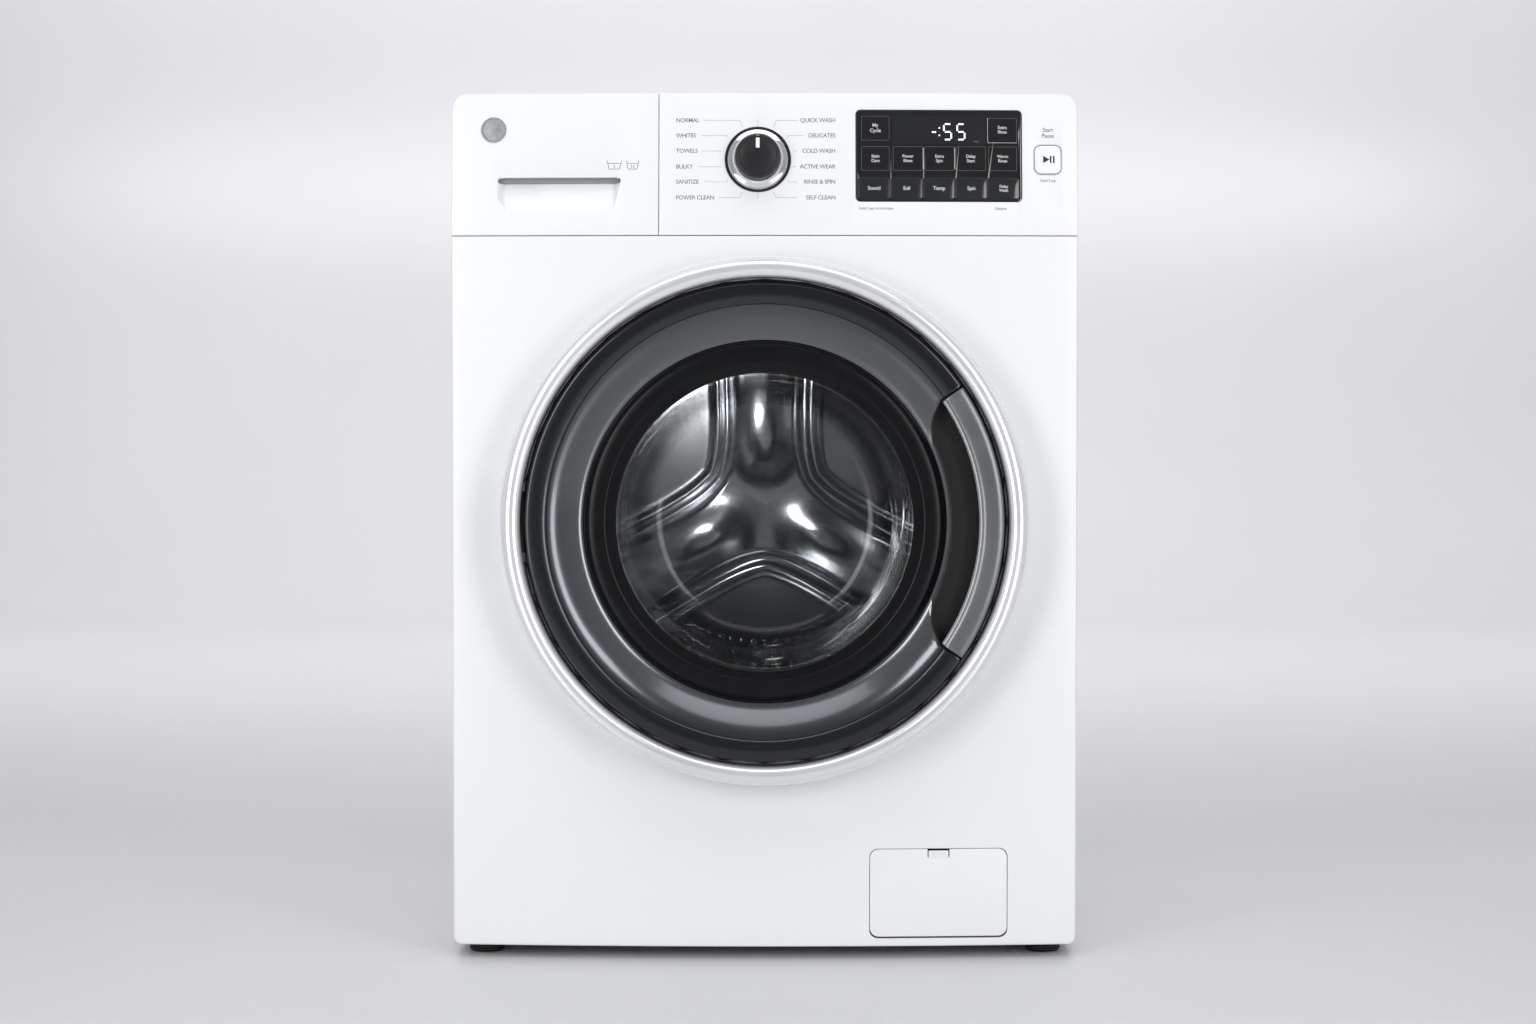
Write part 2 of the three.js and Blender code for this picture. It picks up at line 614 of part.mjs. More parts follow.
function inletValve() {
  const rear = REAR_Y + REAR_PROUD;
  let valve = box(HALF - 125, HALF - 35, REAR_Y - 62, REAR_Y - SHEET - CLEAR, valveZ() - 18, valveZ() + 18);
  for (const x of valvePlaces()) {
    const stub = ringY(VALVE_RADIUS - 4, VALVE_RADIUS, REAR_Y - 10, rear, SMALL_FACETS);
    valve = valve.add(solid(surface(stub).translate(x, 0, valveZ())));
  }
  return valve;
}

// ---- door, about its own axis
const door = new THREE.Group();
door.position.z = DOOR_Z;
machine.add(door);

function doorOuterRing() {
  const out = DOOR_RADIUS;
  const inn = RING_INNER;
  const wall = RING_WALL;
  const front = DOOR_FRONT_Y;
  const back = DOOR_BACK_Y;
  const crest = inn + RING_WIDTH * 0.48;
  const ring = turnedY([
    [out, back - 5.5], [out, front + 12], [out - 2.6, front + 5], [out - 6, front + 1.2], [crest, front],
    [inn + 5, front + 1.4], [inn + 1.5, front + 5.5], [inn, front + 12], [inn, back],
    [inn + wall, back], [inn + wall, front + 12], [crest, front + wall], [out - wall, front + 12],
    [out - wall, back - 5.5],
  ]);
  const reach = HINGE_HALF + HINGE_ARM + 2;
  const bay = box(-out - 3, HINGE_X + HINGE_BARREL + 4, HINGE_Y - 11.5, back + 1, -reach, reach);
  return ring.subtract(bay);
}

// Sector between two radii, about the +X direction, as a front view shape.
function sector(inner, outer, degrees, steps = 10) {
  const shape = new THREE.Shape();
  const edge = [];
  for (let i = 0; i <= steps; i += 1) {
    const turn = THREE.MathUtils.degToRad(degrees * ((2 * i) / steps - 1));
    edge.push(turn);
  }
  edge.forEach((turn, i) => {
    const point = [outer * Math.cos(turn), outer * Math.sin(turn)];
    if (i === 0) shape.moveTo(...point);
    else shape.lineTo(...point);
  });
  edge.reverse().forEach((turn) => shape.lineTo(inner * Math.cos(turn), inner * Math.sin(turn)));
  shape.closePath();
  return shape;
}

function doorTrimRing() {
  const out = TRIM_OUTER;
  const inn = TRIM_INNER;
  const wall = TRIM_WALL;
  const front = DOOR_FRONT_Y + 8.5;
  const step = out - 20;
  const ring = turnedY([
    [out, DOOR_BACK_Y - 8], [out, front + 3], [out - 2.5, front], [step, front + 1], [inn + 18, front + 7],
    [inn + 4, front + 15], [inn, front + 19.5], [inn, front + 22.5], [inn + 18, front + 7 + wall + 1],
    [step, front + 1 + wall], [out - wall, front + wall + 1], [out - wall, DOOR_BACK_Y - 8],
  ]);
  const y0 = DOOR_FRONT_Y - 5;
  const y1 = DOOR_BACK_Y + 5;
  return ring
    .subtract(prismY(sector(inn + 30, out + 8, RECESS_ANGLE), y0, y1))
    .subtract(prismY(sector(inn + 4, inn + 31, RECESS_ANGLE - 10), y0, y1));
}

function doorInnerFrame() {
  const out = RING_INNER - CLEAR;
  const inn = BOWL_OUTER + 8;
  const back = DOOR_BACK_Y;
  const glassFront = glassY() + GLASS_WALL;
  const rebate = GLASS_OUTER - 1;
  const plate = turnedY([
    [out, back - 6], [out, back - 1], [inn, back - 1], [inn, glassFront + CLEAR],
    [rebate, glassFront + CLEAR], [rebate, back - 4.5], [out - 3, back - 4.5], [out - 3, back - 6],
  ]);
  const barrelOutline = ringOutline(HINGE_PIN + 0.5, HINGE_BARREL, -HINGE_HALF, HINGE_HALF);
  const leafX = -TRIM_OUTER - 0.7;
  const leaf = box(HINGE_X, leafX, HINGE_Y - 2, HINGE_Y + 2, -HINGE_HALF, HINGE_HALF)
    .add(box(leafX - 4, leafX, HINGE_Y - 2, back - 1, -HINGE_HALF, HINGE_HALF));
  const hole = HINGE_PIN + 0.5;
  const bore = turnedZ([[0, -60], [hole, -60], [hole, 60], [0, 60]], HINGE_X, HINGE_Y);
  const slot = box(HOOK_X - 9, HOOK_X + 9, back - 20, back + 5, -HOOK_HALF - 2, HOOK_HALF + 2);
  return plate
    .add(turnedZ(barrelOutline, HINGE_X, HINGE_Y))
    .add(leaf)
    .subtract(bore)
    .subtract(slot);
}

const glassY = () => DOOR_FRONT_Y + 28;

function doorGlass() {
  const front = glassY();
  const wall = GLASS_WALL;
  const lip = BOWL_OUTER;
  const bottom = front + BOWL_DEPTH;
  const base = lip - BOWL_TAPER;
  return turnedY([
    [GLASS_OUTER, front], [lip, front], [lip - 3, front + 3], [base, bottom - 14], [base - 12, bottom - 3],
    [base - 30, bottom], [0, bottom], [0, bottom + wall], [base - 28, bottom + wall],
    [base - 8, bottom + 1], [base + wall + 1, bottom - 12], [lip + 1, front + wall + 1],
    [lip + 3, front + wall], [GLASS_OUTER, front + wall],
  ]);
}

function doorHandle() {
  const front = DOOR_FRONT_Y + 5;
  const grip = prismY(sector(GRIP_INNER, GRIP_OUTER, GRIP_ANGLE, 12), front, front + GRIP_DEPTH);
  const stem = box(HOOK_X - 3, HOOK_X + 8, front + GRIP_DEPTH - 1, DOOR_BACK_Y - 8.5, -14, 14);
  return grip.add(stem);
}

function latchHook() {
  const y0 = DOOR_BACK_Y - 7;
  const y1 = DOOR_BACK_Y + 25;
  const half = HOOK_HALF;
  const shank = box(HOOK_X - 3, HOOK_X + 3, y0, y1, -half, half);
  return shank.add(box(HOOK_X - 8, HOOK_X + 3, y1 - 6, y1, -half, half));
}

function doorLock() {
  const y0 = LAND_Y + SHEET + CLEAR;
  const shell = box(HOOK_X - 20, HOOK_X + 20, y0, y0 + 34, -34, 34);
  return shell.subtract(box(HOOK_X - 15, HOOK_X + 15, y0 - 1, y0 + 30, -HOOK_HALF - 3, HOOK_HALF + 3));
}

function hingeBracket() {
  const y0 = LAND_Y + SHEET + CLEAR;
  const reach = HINGE_HALF + HINGE_ARM;
  const plate = box(HINGE_X - 6, HINGE_X + 34, y0, y0 + 4, -reach - 12, reach + 12);
  const pin = turnedZ([[0, -reach], [HINGE_PIN, -reach], [HINGE_PIN, reach], [0, reach]], HINGE_X, HINGE_Y);
  let bracket = plate.add(pin);
  for (const side of [-1, 1]) {
    const near = side * (HINGE_HALF + 1);
    const far = side * reach;
    const z0 = Math.min(near, far);
    const z1 = Math.max(near, far);
    bracket = bracket.add(box(HINGE_X - 4.6, HINGE_X + 4.6, HINGE_Y - 4.6, y0 + 1, z0, z1));
  }
  return bracket;
}

// ---- washing group, about the drum's axis
const group = new THREE.Group();
group.position.z = DOOR_Z;
machine.add(group);

function doorSeal() {
  const front = LAND_Y + 1;
  const lip = PORT_RADIUS - 0.6;
  const back = TUB_FRONT_Y - 3;
  const inner = MOUTH_RADIUS + 2;
  return turnedY([
    [lip, front], [lip, front + 13], [lip - 3, front + 17], [lip + 15, front + 22], [lip + 15, front + 33],
    [lip + 3, back - 19], [lip + 3, back], [inner, back], [inner, back - 20], [lip + 11, front + 31],
    [lip + 11, front + 25], [lip - 7, front + 20], [lip - 13, front + 14], [lip - 13, front],
  ]);
}

function tubFront() {
  const out = TUB_OUTER;
  const collar = PORT_RADIUS + 3;
  const y0 = TUB_FRONT_Y;
  const y1 = SPLIT_Y - CLEAR;
  return turnedY([
    [collar, y0 - 20], [collar + 4, y0 - 20], [collar + 4, y0], [out, y0], [out, y1 - 6],
    [out + TUB_FLANGE, y1 - 6], [out + TUB_FLANGE, y1], [TUB_RADIUS, y1], [TUB_RADIUS, y0 + TUB_WALL],
    [collar, y0 + TUB_WALL],
  ]);
}

function tubRear() {
  const out = TUB_OUTER;
  const y0 = SPLIT_Y;
  const y1 = TUB_BACK_Y;
  const bore = BEARING_RADIUS + RUN_GAP;
  return turnedY([
    [TUB_RADIUS, y0], [out + TUB_FLANGE, y0], [out + TUB_FLANGE, y0 + 6], [out, y0 + 6], [out, y1],
    [bore + 14, y1], [bore + 14, y1 + HUB_LENGTH - 12], [bore, y1 + HUB_LENGTH - 12],
    [bore, y1 - 12], [bore + 14, y1 - 12], [bore + 14, y1 - TUB_WALL - 1], [TUB_RADIUS, y1 - TUB_WALL - 1],
  ]);
}

const bearing = (y0) => ringY(SHAFT_RADIUS + RUN_GAP, BEARING_RADIUS, y0, y0 + BEARING_WIDTH);

function drum() {
  const out = DRUM_RADIUS;
  const wall = DRUM_SHEET;
  const y0 = DRUM_FRONT_Y;
  const y1 = DRUM_BACK_Y;
  const mouth = MOUTH_RADIUS;
  return turnedY([
    [out, y0 + 8], [out, y1], [0, y1], [0, y1 - wall], [out - wall, y1 - wall], [out - wall, y0 + 8],
    [out - 9, y0 + wall], [mouth + DRUM_LIP, y0 + wall], [mouth + wall, y0 + wall + DRUM_LIP],
    [mouth, y0 + wall + DRUM_LIP], [mouth + DRUM_LIP, y0], [out - 8, y0],
  ]);
}

// Lifter at the top of the drum; the copies are turned about the axis.
function lifter() {
  const base = DRUM_RADIUS - 5;
  const half = LIFTER_WIDTH / 2;
  const tip = base - LIFTER_HEIGHT;
  const side = new THREE.Shape();
  side.moveTo(-half, base);
  side.lineTo(-half * 0.5, tip + 14);
  side.quadraticCurveTo(-half * 0.4, tip, 0, tip);
  side.quadraticCurveTo(half * 0.4, tip, half * 0.5, tip + 14);
  side.lineTo(half, base);
  side.closePath();
  const points = side.getPoints(3);
  const shape = new THREE.Shape(points);
  return prismY(shape, DRUM_FRONT_Y + LIFTER_MARGIN, DRUM_BACK_Y - LIFTER_MARGIN);
}

function drumSpider() {
  const y0 = DRUM_BACK_Y + CLEAR;
  let spider = turnedY(
    [
      [0, y0], [40, y0], [40, y0 + 8], [24, y0 + 12], [SHAFT_RADIUS, y0 + 12],
      [SHAFT_RADIUS, SHAFT_END_Y], [0, SHAFT_END_Y],
    ],
    SMALL_FACETS,
  );
  for (let i = 0; i < 3; i += 1) {
    const arm = new THREE.BoxGeometry(28, 8, DRUM_RADIUS - 40);
    arm.translate(0, y0 + 4, (DRUM_RADIUS - 40) / 2 + 20);
    spider = spider.add(solid(arm.rotateY((2 * Math.PI * i) / 3)));
  }
  return spider;
}

function drumPulley() {
  const y0 = BELT_Y - PULLEY_WIDTH / 2;
  const y1 = BELT_Y + PULLEY_WIDTH / 2;
  const out = PULLEY_RADIUS;
  const bore = SHAFT_RADIUS + RUN_GAP;
  let wheel = turnedY([
    [bore, y0], [30, y0], [30, BELT_Y - 3], [out - 8, BELT_Y - 3], [out - 8, y0], [out, y0], [out, y1],
    [out - 8, y1], [out - 8, BELT_Y + 3], [30, BELT_Y + 3], [30, y1], [bore, y1],
  ]);
  for (let i = 0; i < 6; i += 1) {
    const hole = ringY(0, 26, y0, y1, 8);
    const turn = (Math.PI * i) / 3;
    wheel = wheel.subtract(solid(surface(hole).translate(82 * Math.cos(turn), 0, 82 * Math.sin(turn))));
  }
  return wheel;
}

// Open-belt loop round both pulleys, at the given distance outside them.
function beltShape(offset) {
  const distance = DOOR_Z - MOTOR_Z;
  const big = PULLEY_RADIUS + offset;
  const small = MOTOR_PULLEY_RADIUS + offset;
  const wrap = Math.asin((big - small) / distance);
  const points = [];
  for (let i = 0; i <= 24; i += 1) {
    const turn = -wrap + ((Math.PI + 2 * wrap) * i) / 24;
    points.push(new THREE.Vector2(big * Math.cos(turn), big * Math.sin(turn)));
  }
  for (let i = 0; i <= 8; i += 1) {
    const turn = Math.PI + wrap + ((Math.PI - 2 * wrap) * i) / 8;
    points.push(new THREE.Vector2(small * Math.cos(turn), small * Math.sin(turn) - distance));
  }
  return points;
}

function driveBelt() {
  const shape = new THREE.Shape(beltShape(RUN_GAP * 3 + BELT_THICKNESS));
  shape.holes.push(new THREE.Path(beltShape(RUN_GAP * 3)));
  return prismY(shape, BELT_Y - BELT_WIDTH / 2, BELT_Y + BELT_WIDTH / 2);
}

function motor() {
  const y1 = BELT_Y - 48;
  const y0 = y1 - MOTOR_LENGTH;
  const radius = MOTOR_RADIUS;
  const can = turnedY(
    [
      [0, y0], [radius - 12, y0], [radius, y0 + 10], [radius, y1 - 10], [radius - 12, y1], [20, y1],
      [20, y1 + 8], [8, y1 + 8], [8, y1 - 30], [0, y1 - 30],
    ],
    SMALL_FACETS,
  );
  let body = can;
  for (const y of [y0 + 25, y1 - 45]) {
    body = body.add(box(-40, 40, y, y + 20, radius - 25, radius + MOTOR_GAP - CLEAR));
  }
  return body;
}

function motorPulley() {
  const y0 = BELT_Y - 76;
  const rim = BELT_Y - PULLEY_WIDTH / 2;
  const end = BELT_Y + PULLEY_WIDTH / 2;
  return turnedY(
    [[0, y0], [7, y0], [7, rim], [MOTOR_PULLEY_RADIUS, rim], [MOTOR_PULLEY_RADIUS, end], [0, end]],
    SMALL_FACETS,
  );
}

function upperWeight() {
  const top = TUB_OUTER + TUB_FLANGE + 4 + WEIGHT_HEIGHT;
  const x0 = SPLIT_X + WEIGHT_GAP;
  const outline = plateOutline(x0, x0 + WEIGHT_WIDTH, top - 110, top, [6, 6, 12, 12]);
  const block = prismY(outline, SPLIT_Y - 60, SPLIT_Y + 100);
  return block.subtract(ringY(0, TUB_OUTER + TUB_FLANGE + 2, SPLIT_Y - 90, SPLIT_Y + 120));
}

function ringWeight() {
  const inner = PORT_RADIUS + 22;
  const outer = inner + RING_WEIGHT_WIDTH;
  const y1 = TUB_FRONT_Y - CLEAR;
  return ringY(inner, outer, y1 - RING_WEIGHT_DEPTH, y1);
}

function heater() {
  const radius = DRUM_RADIUS + DRUM_GAP / 2;
  const half = 45;
  const y0 = TUB_FRONT_Y + 8;
  const y1 = y0 + 130;
  const low = (x) => -Math.sqrt(radius ** 2 - x ** 2);
  const points = [[-half, y0], [-half, y0 + 60], [-half, y1], [-half * 0.7, y1 + 24], [0, y1 + 34],
    [half * 0.7, y1 + 24], [half, y1], [half, y0 + 60], [half, y0]].map(([x, y]) => [x, y, low(x)]);
  return tube(points, 3.2, 6, 26);
}

// ---- suspension
const damperTop = () => FLOOR_GAP + TRAY_HEIGHT - 8 + DAMPER_LENGTH;

function damperCylinder(x) {
  const z0 = FLOOR_GAP + TRAY_WALL + CLEAR;
  const z1 = damperTop();
  const bore = ROD_RADIUS + 1;
  return turnedZ(
    [[0, z0], [DAMPER_RADIUS, z0], [DAMPER_RADIUS, z1], [bore, z1], [bore, z0 + 20], [0, z0 + 20]],
    x, 0,
  );
}

function damperRod(x) {
  const z0 = FLOOR_GAP + TRAY_WALL + CLEAR + 20 + FLOAT_TRAVEL + 12;
  const near = Math.abs(x) - 12;
  const z1 = DOOR_Z - Math.sqrt((TUB_OUTER + TUB_FLANGE + 2) ** 2 - near ** 2) - 1;
  const rod = turnedZ([[0, z0], [ROD_RADIUS, z0], [ROD_RADIUS, z1 - 6], [0, z1 - 6]], x, 0);
  return rod.add(box(x - 12, x + 12, -15, 15, z1 - 16, z1));
}

function tubSpring(x) {
  const near = Math.abs(x) - SPRING_RADIUS - SPRING_WIRE;
  const z0 = DOOR_Z + Math.sqrt(TUB_OUTER ** 2 - near ** 2) + 8;
  const z1 = TOP_Z - 26;
  const points = [];
  const perTurn = 8;
  for (let i = 0; i <= SPRING_TURNS * perTurn; i += 1) {
    const turn = (2 * Math.PI * i) / perTurn;
    const z = z0 + ((z1 - z0) * i) / (SPRING_TURNS * perTurn);
    points.push([x + SPRING_RADIUS * Math.cos(turn), SPRING_Y + SPRING_RADIUS * Math.sin(turn), z]);
  }
  return tube(points, SPRING_WIRE, 5, SPRING_TURNS * perTurn);
}

// ---- pump, filter and hoses
const filterFront = () => RETURN_Y - 8;

function drainPump() {
  const bore = FILTER_RADIUS + 1;
  const y0 = RETURN_Y + 6;
  return turnedY(
    [
      [bore, y0], [bore + 5, y0], [bore + 5, y0 + 70], [PUMP_RADIUS, y0 + 78], [PUMP_RADIUS, y0 + 130],
      [PUMP_RADIUS - 10, y0 + 140], [0, y0 + 140], [0, y0 + 84], [bore, y0 + 84],
    ],
    SMALL_FACETS,
  );
}

function pumpFilter() {
  const y0 = filterFront();
  const cap = FILTER_RADIUS + 5;
  const body = turnedY(
    [
      [0, y0], [cap - 2, y0], [cap, y0 + 2], [cap, y0 + 10],
      [FILTER_RADIUS, y0 + 10], [FILTER_RADIUS - 1, y0 + 80], [0, y0 + 80],
    ],
    SMALL_FACETS,
  );
  return body.add(box(-4, 4, y0 - 14, y0 + 1, -20, 20));
}

function filterFlap() {
  const x0 = FLAP_X - FLAP_WIDTH / 2;
  const x1 = FLAP_X + FLAP_WIDTH / 2;
  const z1 = FLAP_Z + FLAP_HEIGHT;
  const radii = Array(4).fill(FLAP_CORNER);
  const plate = frontPlate(plateOutline(x0, x1, FLAP_Z, z1, radii), x0, x1, FLAP_Z, z1, 0, FLAP_WALL, 4);
  const notch = plateOutline(FLAP_X - 10.5, FLAP_X + 10.5, z1 - 9, z1 + 5, [2, 2, 0, 0]);
  return plate.subtract(prismY(notch, DOOR_FRONT_Y, 0));
}

function sumpHose() {
  const top = DOOR_Z - Math.sqrt((TUB_OUTER + 2) ** 2 - 100 ** 2) - 14;
  const y = RETURN_Y + 115;
  const low = FILTER_RISE + PUMP_RADIUS + 4;
  const points = [[104, y, top], [112, y, top - 18], [FLAP_X - 12, y, low + 18], [FLAP_X - 6, y, low]];
  return tube(points, HOSE_RADIUS, 10, 8);
}

function dispenserHose() {
  const { x0, x1, z0 } = drawerSpan();
  const x = (x0 + x1) / 2;
  const top = z0 - 7;
  const near = Math.abs(x) - HOSE_RADIUS - 6;
  const low = DOOR_Z + Math.sqrt((TUB_OUTER + TUB_FLANGE) ** 2 - near ** 2) + 6;
  const y = RETURN_Y + 210;
  const points = [[x, y, top], [x, y, top - 12], [x - 4, y + 4, low + 12], [x - 4, y + 4, low]];
  return tube(points, HOSE_RADIUS, 10, 8);
}

// ---- feet
function footPlaces() {
  const front = CORNER_Y + FOOT_FRONT_INSET;
  const rear = REAR_Y - FOOT_REAR_INSET;
  const x = HALF - FOOT_MARGIN;
  return [[-x, front], [x, front], [-x, rear], [x, rear]];
}

function foot(x, y) {
  return turnedZ(
    [
      [0, 0], [FOOT_RADIUS - 2, 0], [FOOT_RADIUS, 2], [FOOT_RADIUS, FOOT_PAD - 1],
      [FOOT_STEM, FOOT_PAD], [FOOT_STEM, FOOT_HEIGHT], [0, FOOT_HEIGHT],
    ],
    x, y, 16,
  );
}

// ---- assembly
add("left_side_panel", sidePanel(-1), whitePaint);
add("right_side_panel", sidePanel(1), whitePaint);
add("rear_panel", rearPanel(), galvanised);
add("rear_access_cover", accessCover(), galvanised);
add("base_tray", baseTray(), galvanised);
add("front_panel", frontPanel(), whitePaint);
add("top_panel", topPanel(), whitePaint);
add("control_fascia", controlFascia(), whitePlastic);
add("display_module", displayModule(), blackGloss);
add("drawer_front", drawerFront(), whitePlastic);
add("drawer_tray", drawerTray(), greyPlastic);
add("dispenser_housing", dispenserHousing(), tubPlastic);
add("inlet_valve", inletValve(), greyPlastic);

const knob = add("program_knob", programKnob(), blackPlastic);
const knobSeat = seat(KNOB_X, SEAM_Z + KNOB_RISE);
knob.position.copy(knobSeat.position);
knob.rotation.copy(knobSeat.rotation);

const startSeat = seat(...buttonPlace());
const start = add(
  "start_button",
  keyBody(BUTTON_WIDTH, BUTTON_HEIGHT, BUTTON_CORNER, BUTTON_PROUD, BUTTON_DEPTH),
  whitePlastic,
);
start.position.copy(startSeat.position);
start.rotation.copy(startSeat.rotation);

keyPlaces().forEach(([x, z], i) => {
  const keySeat = seat(x, z);
  const cap = keyBody(KEY_WIDTH, KEY_HEIGHT, KEY_CORNER, KEY_PROUD, KEY_DEPTH);
  const key = add(`option_key_${i + 1}`, cap, blackGloss);
  key.position.copy(keySeat.position);
  key.rotation.copy(keySeat.rotation);
});

add("door_outer_ring", doorOuterRing(), chrome, door);
add("door_trim_ring", doorTrimRing(), smokedChrome, door);
add("door_inner_frame", doorInnerFrame(), blackPlastic, door);
add("door_glass", doorGlass(), clearGlass, door);
add("door_handle", doorHandle(), satinGrey, door);
add("latch_hook", latchHook(), steel, door);
add("door_lock", doorLock(), blackPlastic, door);
add("hinge_bracket", hingeBracket(), steel, door);

add("door_seal", doorSeal(), greyRubber, group);
add("tub_front", tubFront(), tubPlastic, group);
add("tub_rear", tubRear(), tubPlastic, group);
add("bearing_front", bearing(TUB_BACK_Y - 11), steel, group);
add("bearing_rear", bearing(TUB_BACK_Y + 12), steel, group);
add("upper_counterweight", upperWeight(), concrete, group);
add("front_counterweight", ringWeight(), concrete, group);
add("heater", heater(), stainless, group);
add("drum", drum(), stainless, group);
add("drum_spider", drumSpider(), castAluminium, group);
add("drum_pulley", drumPulley(), castAluminium, group);
add("drive_belt", driveBelt(), blackRubber, group);
for (let i = 0; i < LIFTER_COUNT; i += 1) {
  const paddle = add(`lifter_${i + 1}`, lifter(), stainless, group);
  paddle.rotation.y = (2 * Math.PI * i) / LIFTER_COUNT;
}

const drive = new THREE.Group();
drive.position.z = MOTOR_Z;
machine.add(drive);
add("motor", motor(), steel, drive);
add("motor_pulley", motorPulley(), steel, drive);

for (const [name, side] of [["left", -1], ["right", 1]]) {
  add(`damper_cylinder_${name}`, damperCylinder(side * DAMPER_X), greyPlastic);
  add(`damper_rod_${name}`, damperRod(side * DAMPER_X), steel);
  add(`spring_${name}`, tubSpring(side * SPRING_X), steel);
}

const pumpSeat = new THREE.Group();
pumpSeat.position.set(FLAP_X, 0, FILTER_RISE);
machine.add(pumpSeat);
add("drain_pump", drainPump(), greyPlastic, pumpSeat);
add("pump_filter", pumpFilter(), greyPlastic, pumpSeat);
add("filter_flap", filterFlap(), whitePlastic);
add("sump_hose", sumpHose(), blackRubber);
add("dispenser_hose", dispenserHose(), blackRubber);
footPlaces().forEach(([x, y], i) => add(`foot_${i + 1}`, foot(x, y), blackRubber));

export default machine;
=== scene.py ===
import json
import math
import bmesh
import bpy
from mathutils import Matrix, Vector

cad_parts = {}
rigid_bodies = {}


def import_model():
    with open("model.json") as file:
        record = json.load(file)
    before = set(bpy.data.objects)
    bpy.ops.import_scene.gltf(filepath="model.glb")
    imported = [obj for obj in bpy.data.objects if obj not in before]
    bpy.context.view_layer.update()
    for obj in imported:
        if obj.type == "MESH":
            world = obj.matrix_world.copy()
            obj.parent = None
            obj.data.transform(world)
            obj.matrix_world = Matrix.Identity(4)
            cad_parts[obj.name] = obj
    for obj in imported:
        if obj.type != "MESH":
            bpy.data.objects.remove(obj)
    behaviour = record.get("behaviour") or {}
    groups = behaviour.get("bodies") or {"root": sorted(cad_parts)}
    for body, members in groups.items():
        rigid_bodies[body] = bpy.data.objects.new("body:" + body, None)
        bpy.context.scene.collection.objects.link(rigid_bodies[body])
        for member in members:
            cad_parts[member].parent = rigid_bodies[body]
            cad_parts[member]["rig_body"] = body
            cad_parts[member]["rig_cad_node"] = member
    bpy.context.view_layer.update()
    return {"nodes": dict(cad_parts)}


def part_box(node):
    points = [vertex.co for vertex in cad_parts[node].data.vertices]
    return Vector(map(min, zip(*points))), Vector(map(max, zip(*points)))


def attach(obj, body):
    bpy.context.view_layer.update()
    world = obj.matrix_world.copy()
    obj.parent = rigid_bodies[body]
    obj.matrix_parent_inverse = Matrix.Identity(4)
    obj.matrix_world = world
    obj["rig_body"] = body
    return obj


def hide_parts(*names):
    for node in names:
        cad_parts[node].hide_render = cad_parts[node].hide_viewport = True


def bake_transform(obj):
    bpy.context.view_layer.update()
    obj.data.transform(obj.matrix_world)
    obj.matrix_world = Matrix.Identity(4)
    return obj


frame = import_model()

# ---- Camera
# Stands a little over three metres in front of the door, at the height of the
# door's upper half, and looks slightly down.
CAMERA_PLACE = (0.0032, -3.57, 0.5625)
CAMERA_TILT = 87.7
CAMERA_LENS = 81.1
bpy.ops.object.camera_add(location=CAMERA_PLACE, rotation=(math.radians(CAMERA_TILT), 0, 0))
camera = bpy.context.object
camera.name = "camera"
camera.data.lens = CAMERA_LENS
camera.data.sensor_width = 36
camera.data.dof.use_dof = False
bpy.context.scene.camera = camera


# ---- Studio
# Pale satin floor that curves up into a wall, soft boxes over and beside the machine, a
# wash of light on the wall, a small lamp in the drum's mouth, and a white surround.
def linear(hex_colour):
    """sRGB hex as a linear colour."""
    parts = [int(hex_colour[i : i + 2], 16) / 255 for i in (0, 2, 4)]
    return [p / 12.92 if p <= 0.04045 else ((p + 0.055) / 1.055) ** 2.4 for p in parts] + [1.0]


def add_node(tree, kind, inputs=None, **settings):
    """Adds a node, with its settings, and sets or links its inputs."""
    made = tree.nodes.new(kind)
    for key, value in settings.items():
        setattr(made, key, value)
    for key, value in (inputs or {}).items():
        if isinstance(value, bpy.types.NodeSocket):
            tree.links.new(value, made.inputs[key])
        else:
            made.inputs[key].default_value = value
    return made


MM = 0.001


def new_material(name):
    """New node material, with its tree and its shader."""
    material = bpy.data.materials.new(name)
    material.use_nodes = True
    tree = material.node_tree
    return material, tree, tree.nodes["Principled BSDF"]


def surface(name, light, dark, patch, rough, rough_span=0.04, grain=0.8, depth=0.02, **sockets):
    """Material with a faint mottle between two colours over `patch` mm, a roughness that
    follows it, and a moulded or sprayed grain of `grain` mm that stands `depth` mm."""
    material, tree, shader = new_material(name)
    place = add_node(tree, "ShaderNodeTexCoord").outputs["Object"]
    cloud = add_node(tree, "ShaderNodeTexNoise", {"Vector": place, "Scale": 1 / (patch * MM), "Detail": 3.0})
    tone = add_node(tree, "ShaderNodeValToRGB", {"Fac": cloud.outputs["Fac"]})
    tone.color_ramp.elements[0].position = 0.3
    tone.color_ramp.elements[1].position = 0.7
    tone.color_ramp.elements[0].color = linear(dark)
    tone.color_ramp.elements[1].color = linear(light)
    tree.links.new(tone.outputs["Color"], shader.inputs["Base Color"])
    sheen = add_node(
        tree,
        "ShaderNodeMapRange",
        {
            "Value": cloud.outputs["Fac"], "From Min": 0.3, "From Max": 0.7, "To Min": rough - rough_span,
            "To Max": rough + rough_span,
        },
    )
    tree.links.new(sheen.outputs["Result"], shader.inputs["Roughness"])
    fine = add_node(tree, "ShaderNodeTexNoise", {"Vector": place, "Scale": 1 / (grain * MM), "Detail": 2.0})
    relief = add_node(
        tree, "ShaderNodeBump", {"Height": fine.outputs["Fac"], "Distance": depth * MM, "Strength": 0.5},
    )
    tree.links.new(relief.outputs["Normal"], shader.inputs["Normal"])
    for key, value in sockets.items():
        shader.inputs[key.replace("_", " ")].default_value = value
    return material


def pick(piece):
    """Leaves this piece alone selected and active."""
    bpy.ops.object.select_all(action="DESELECT")
    piece.select_set(True)
    bpy.context.view_layer.objects.active = piece


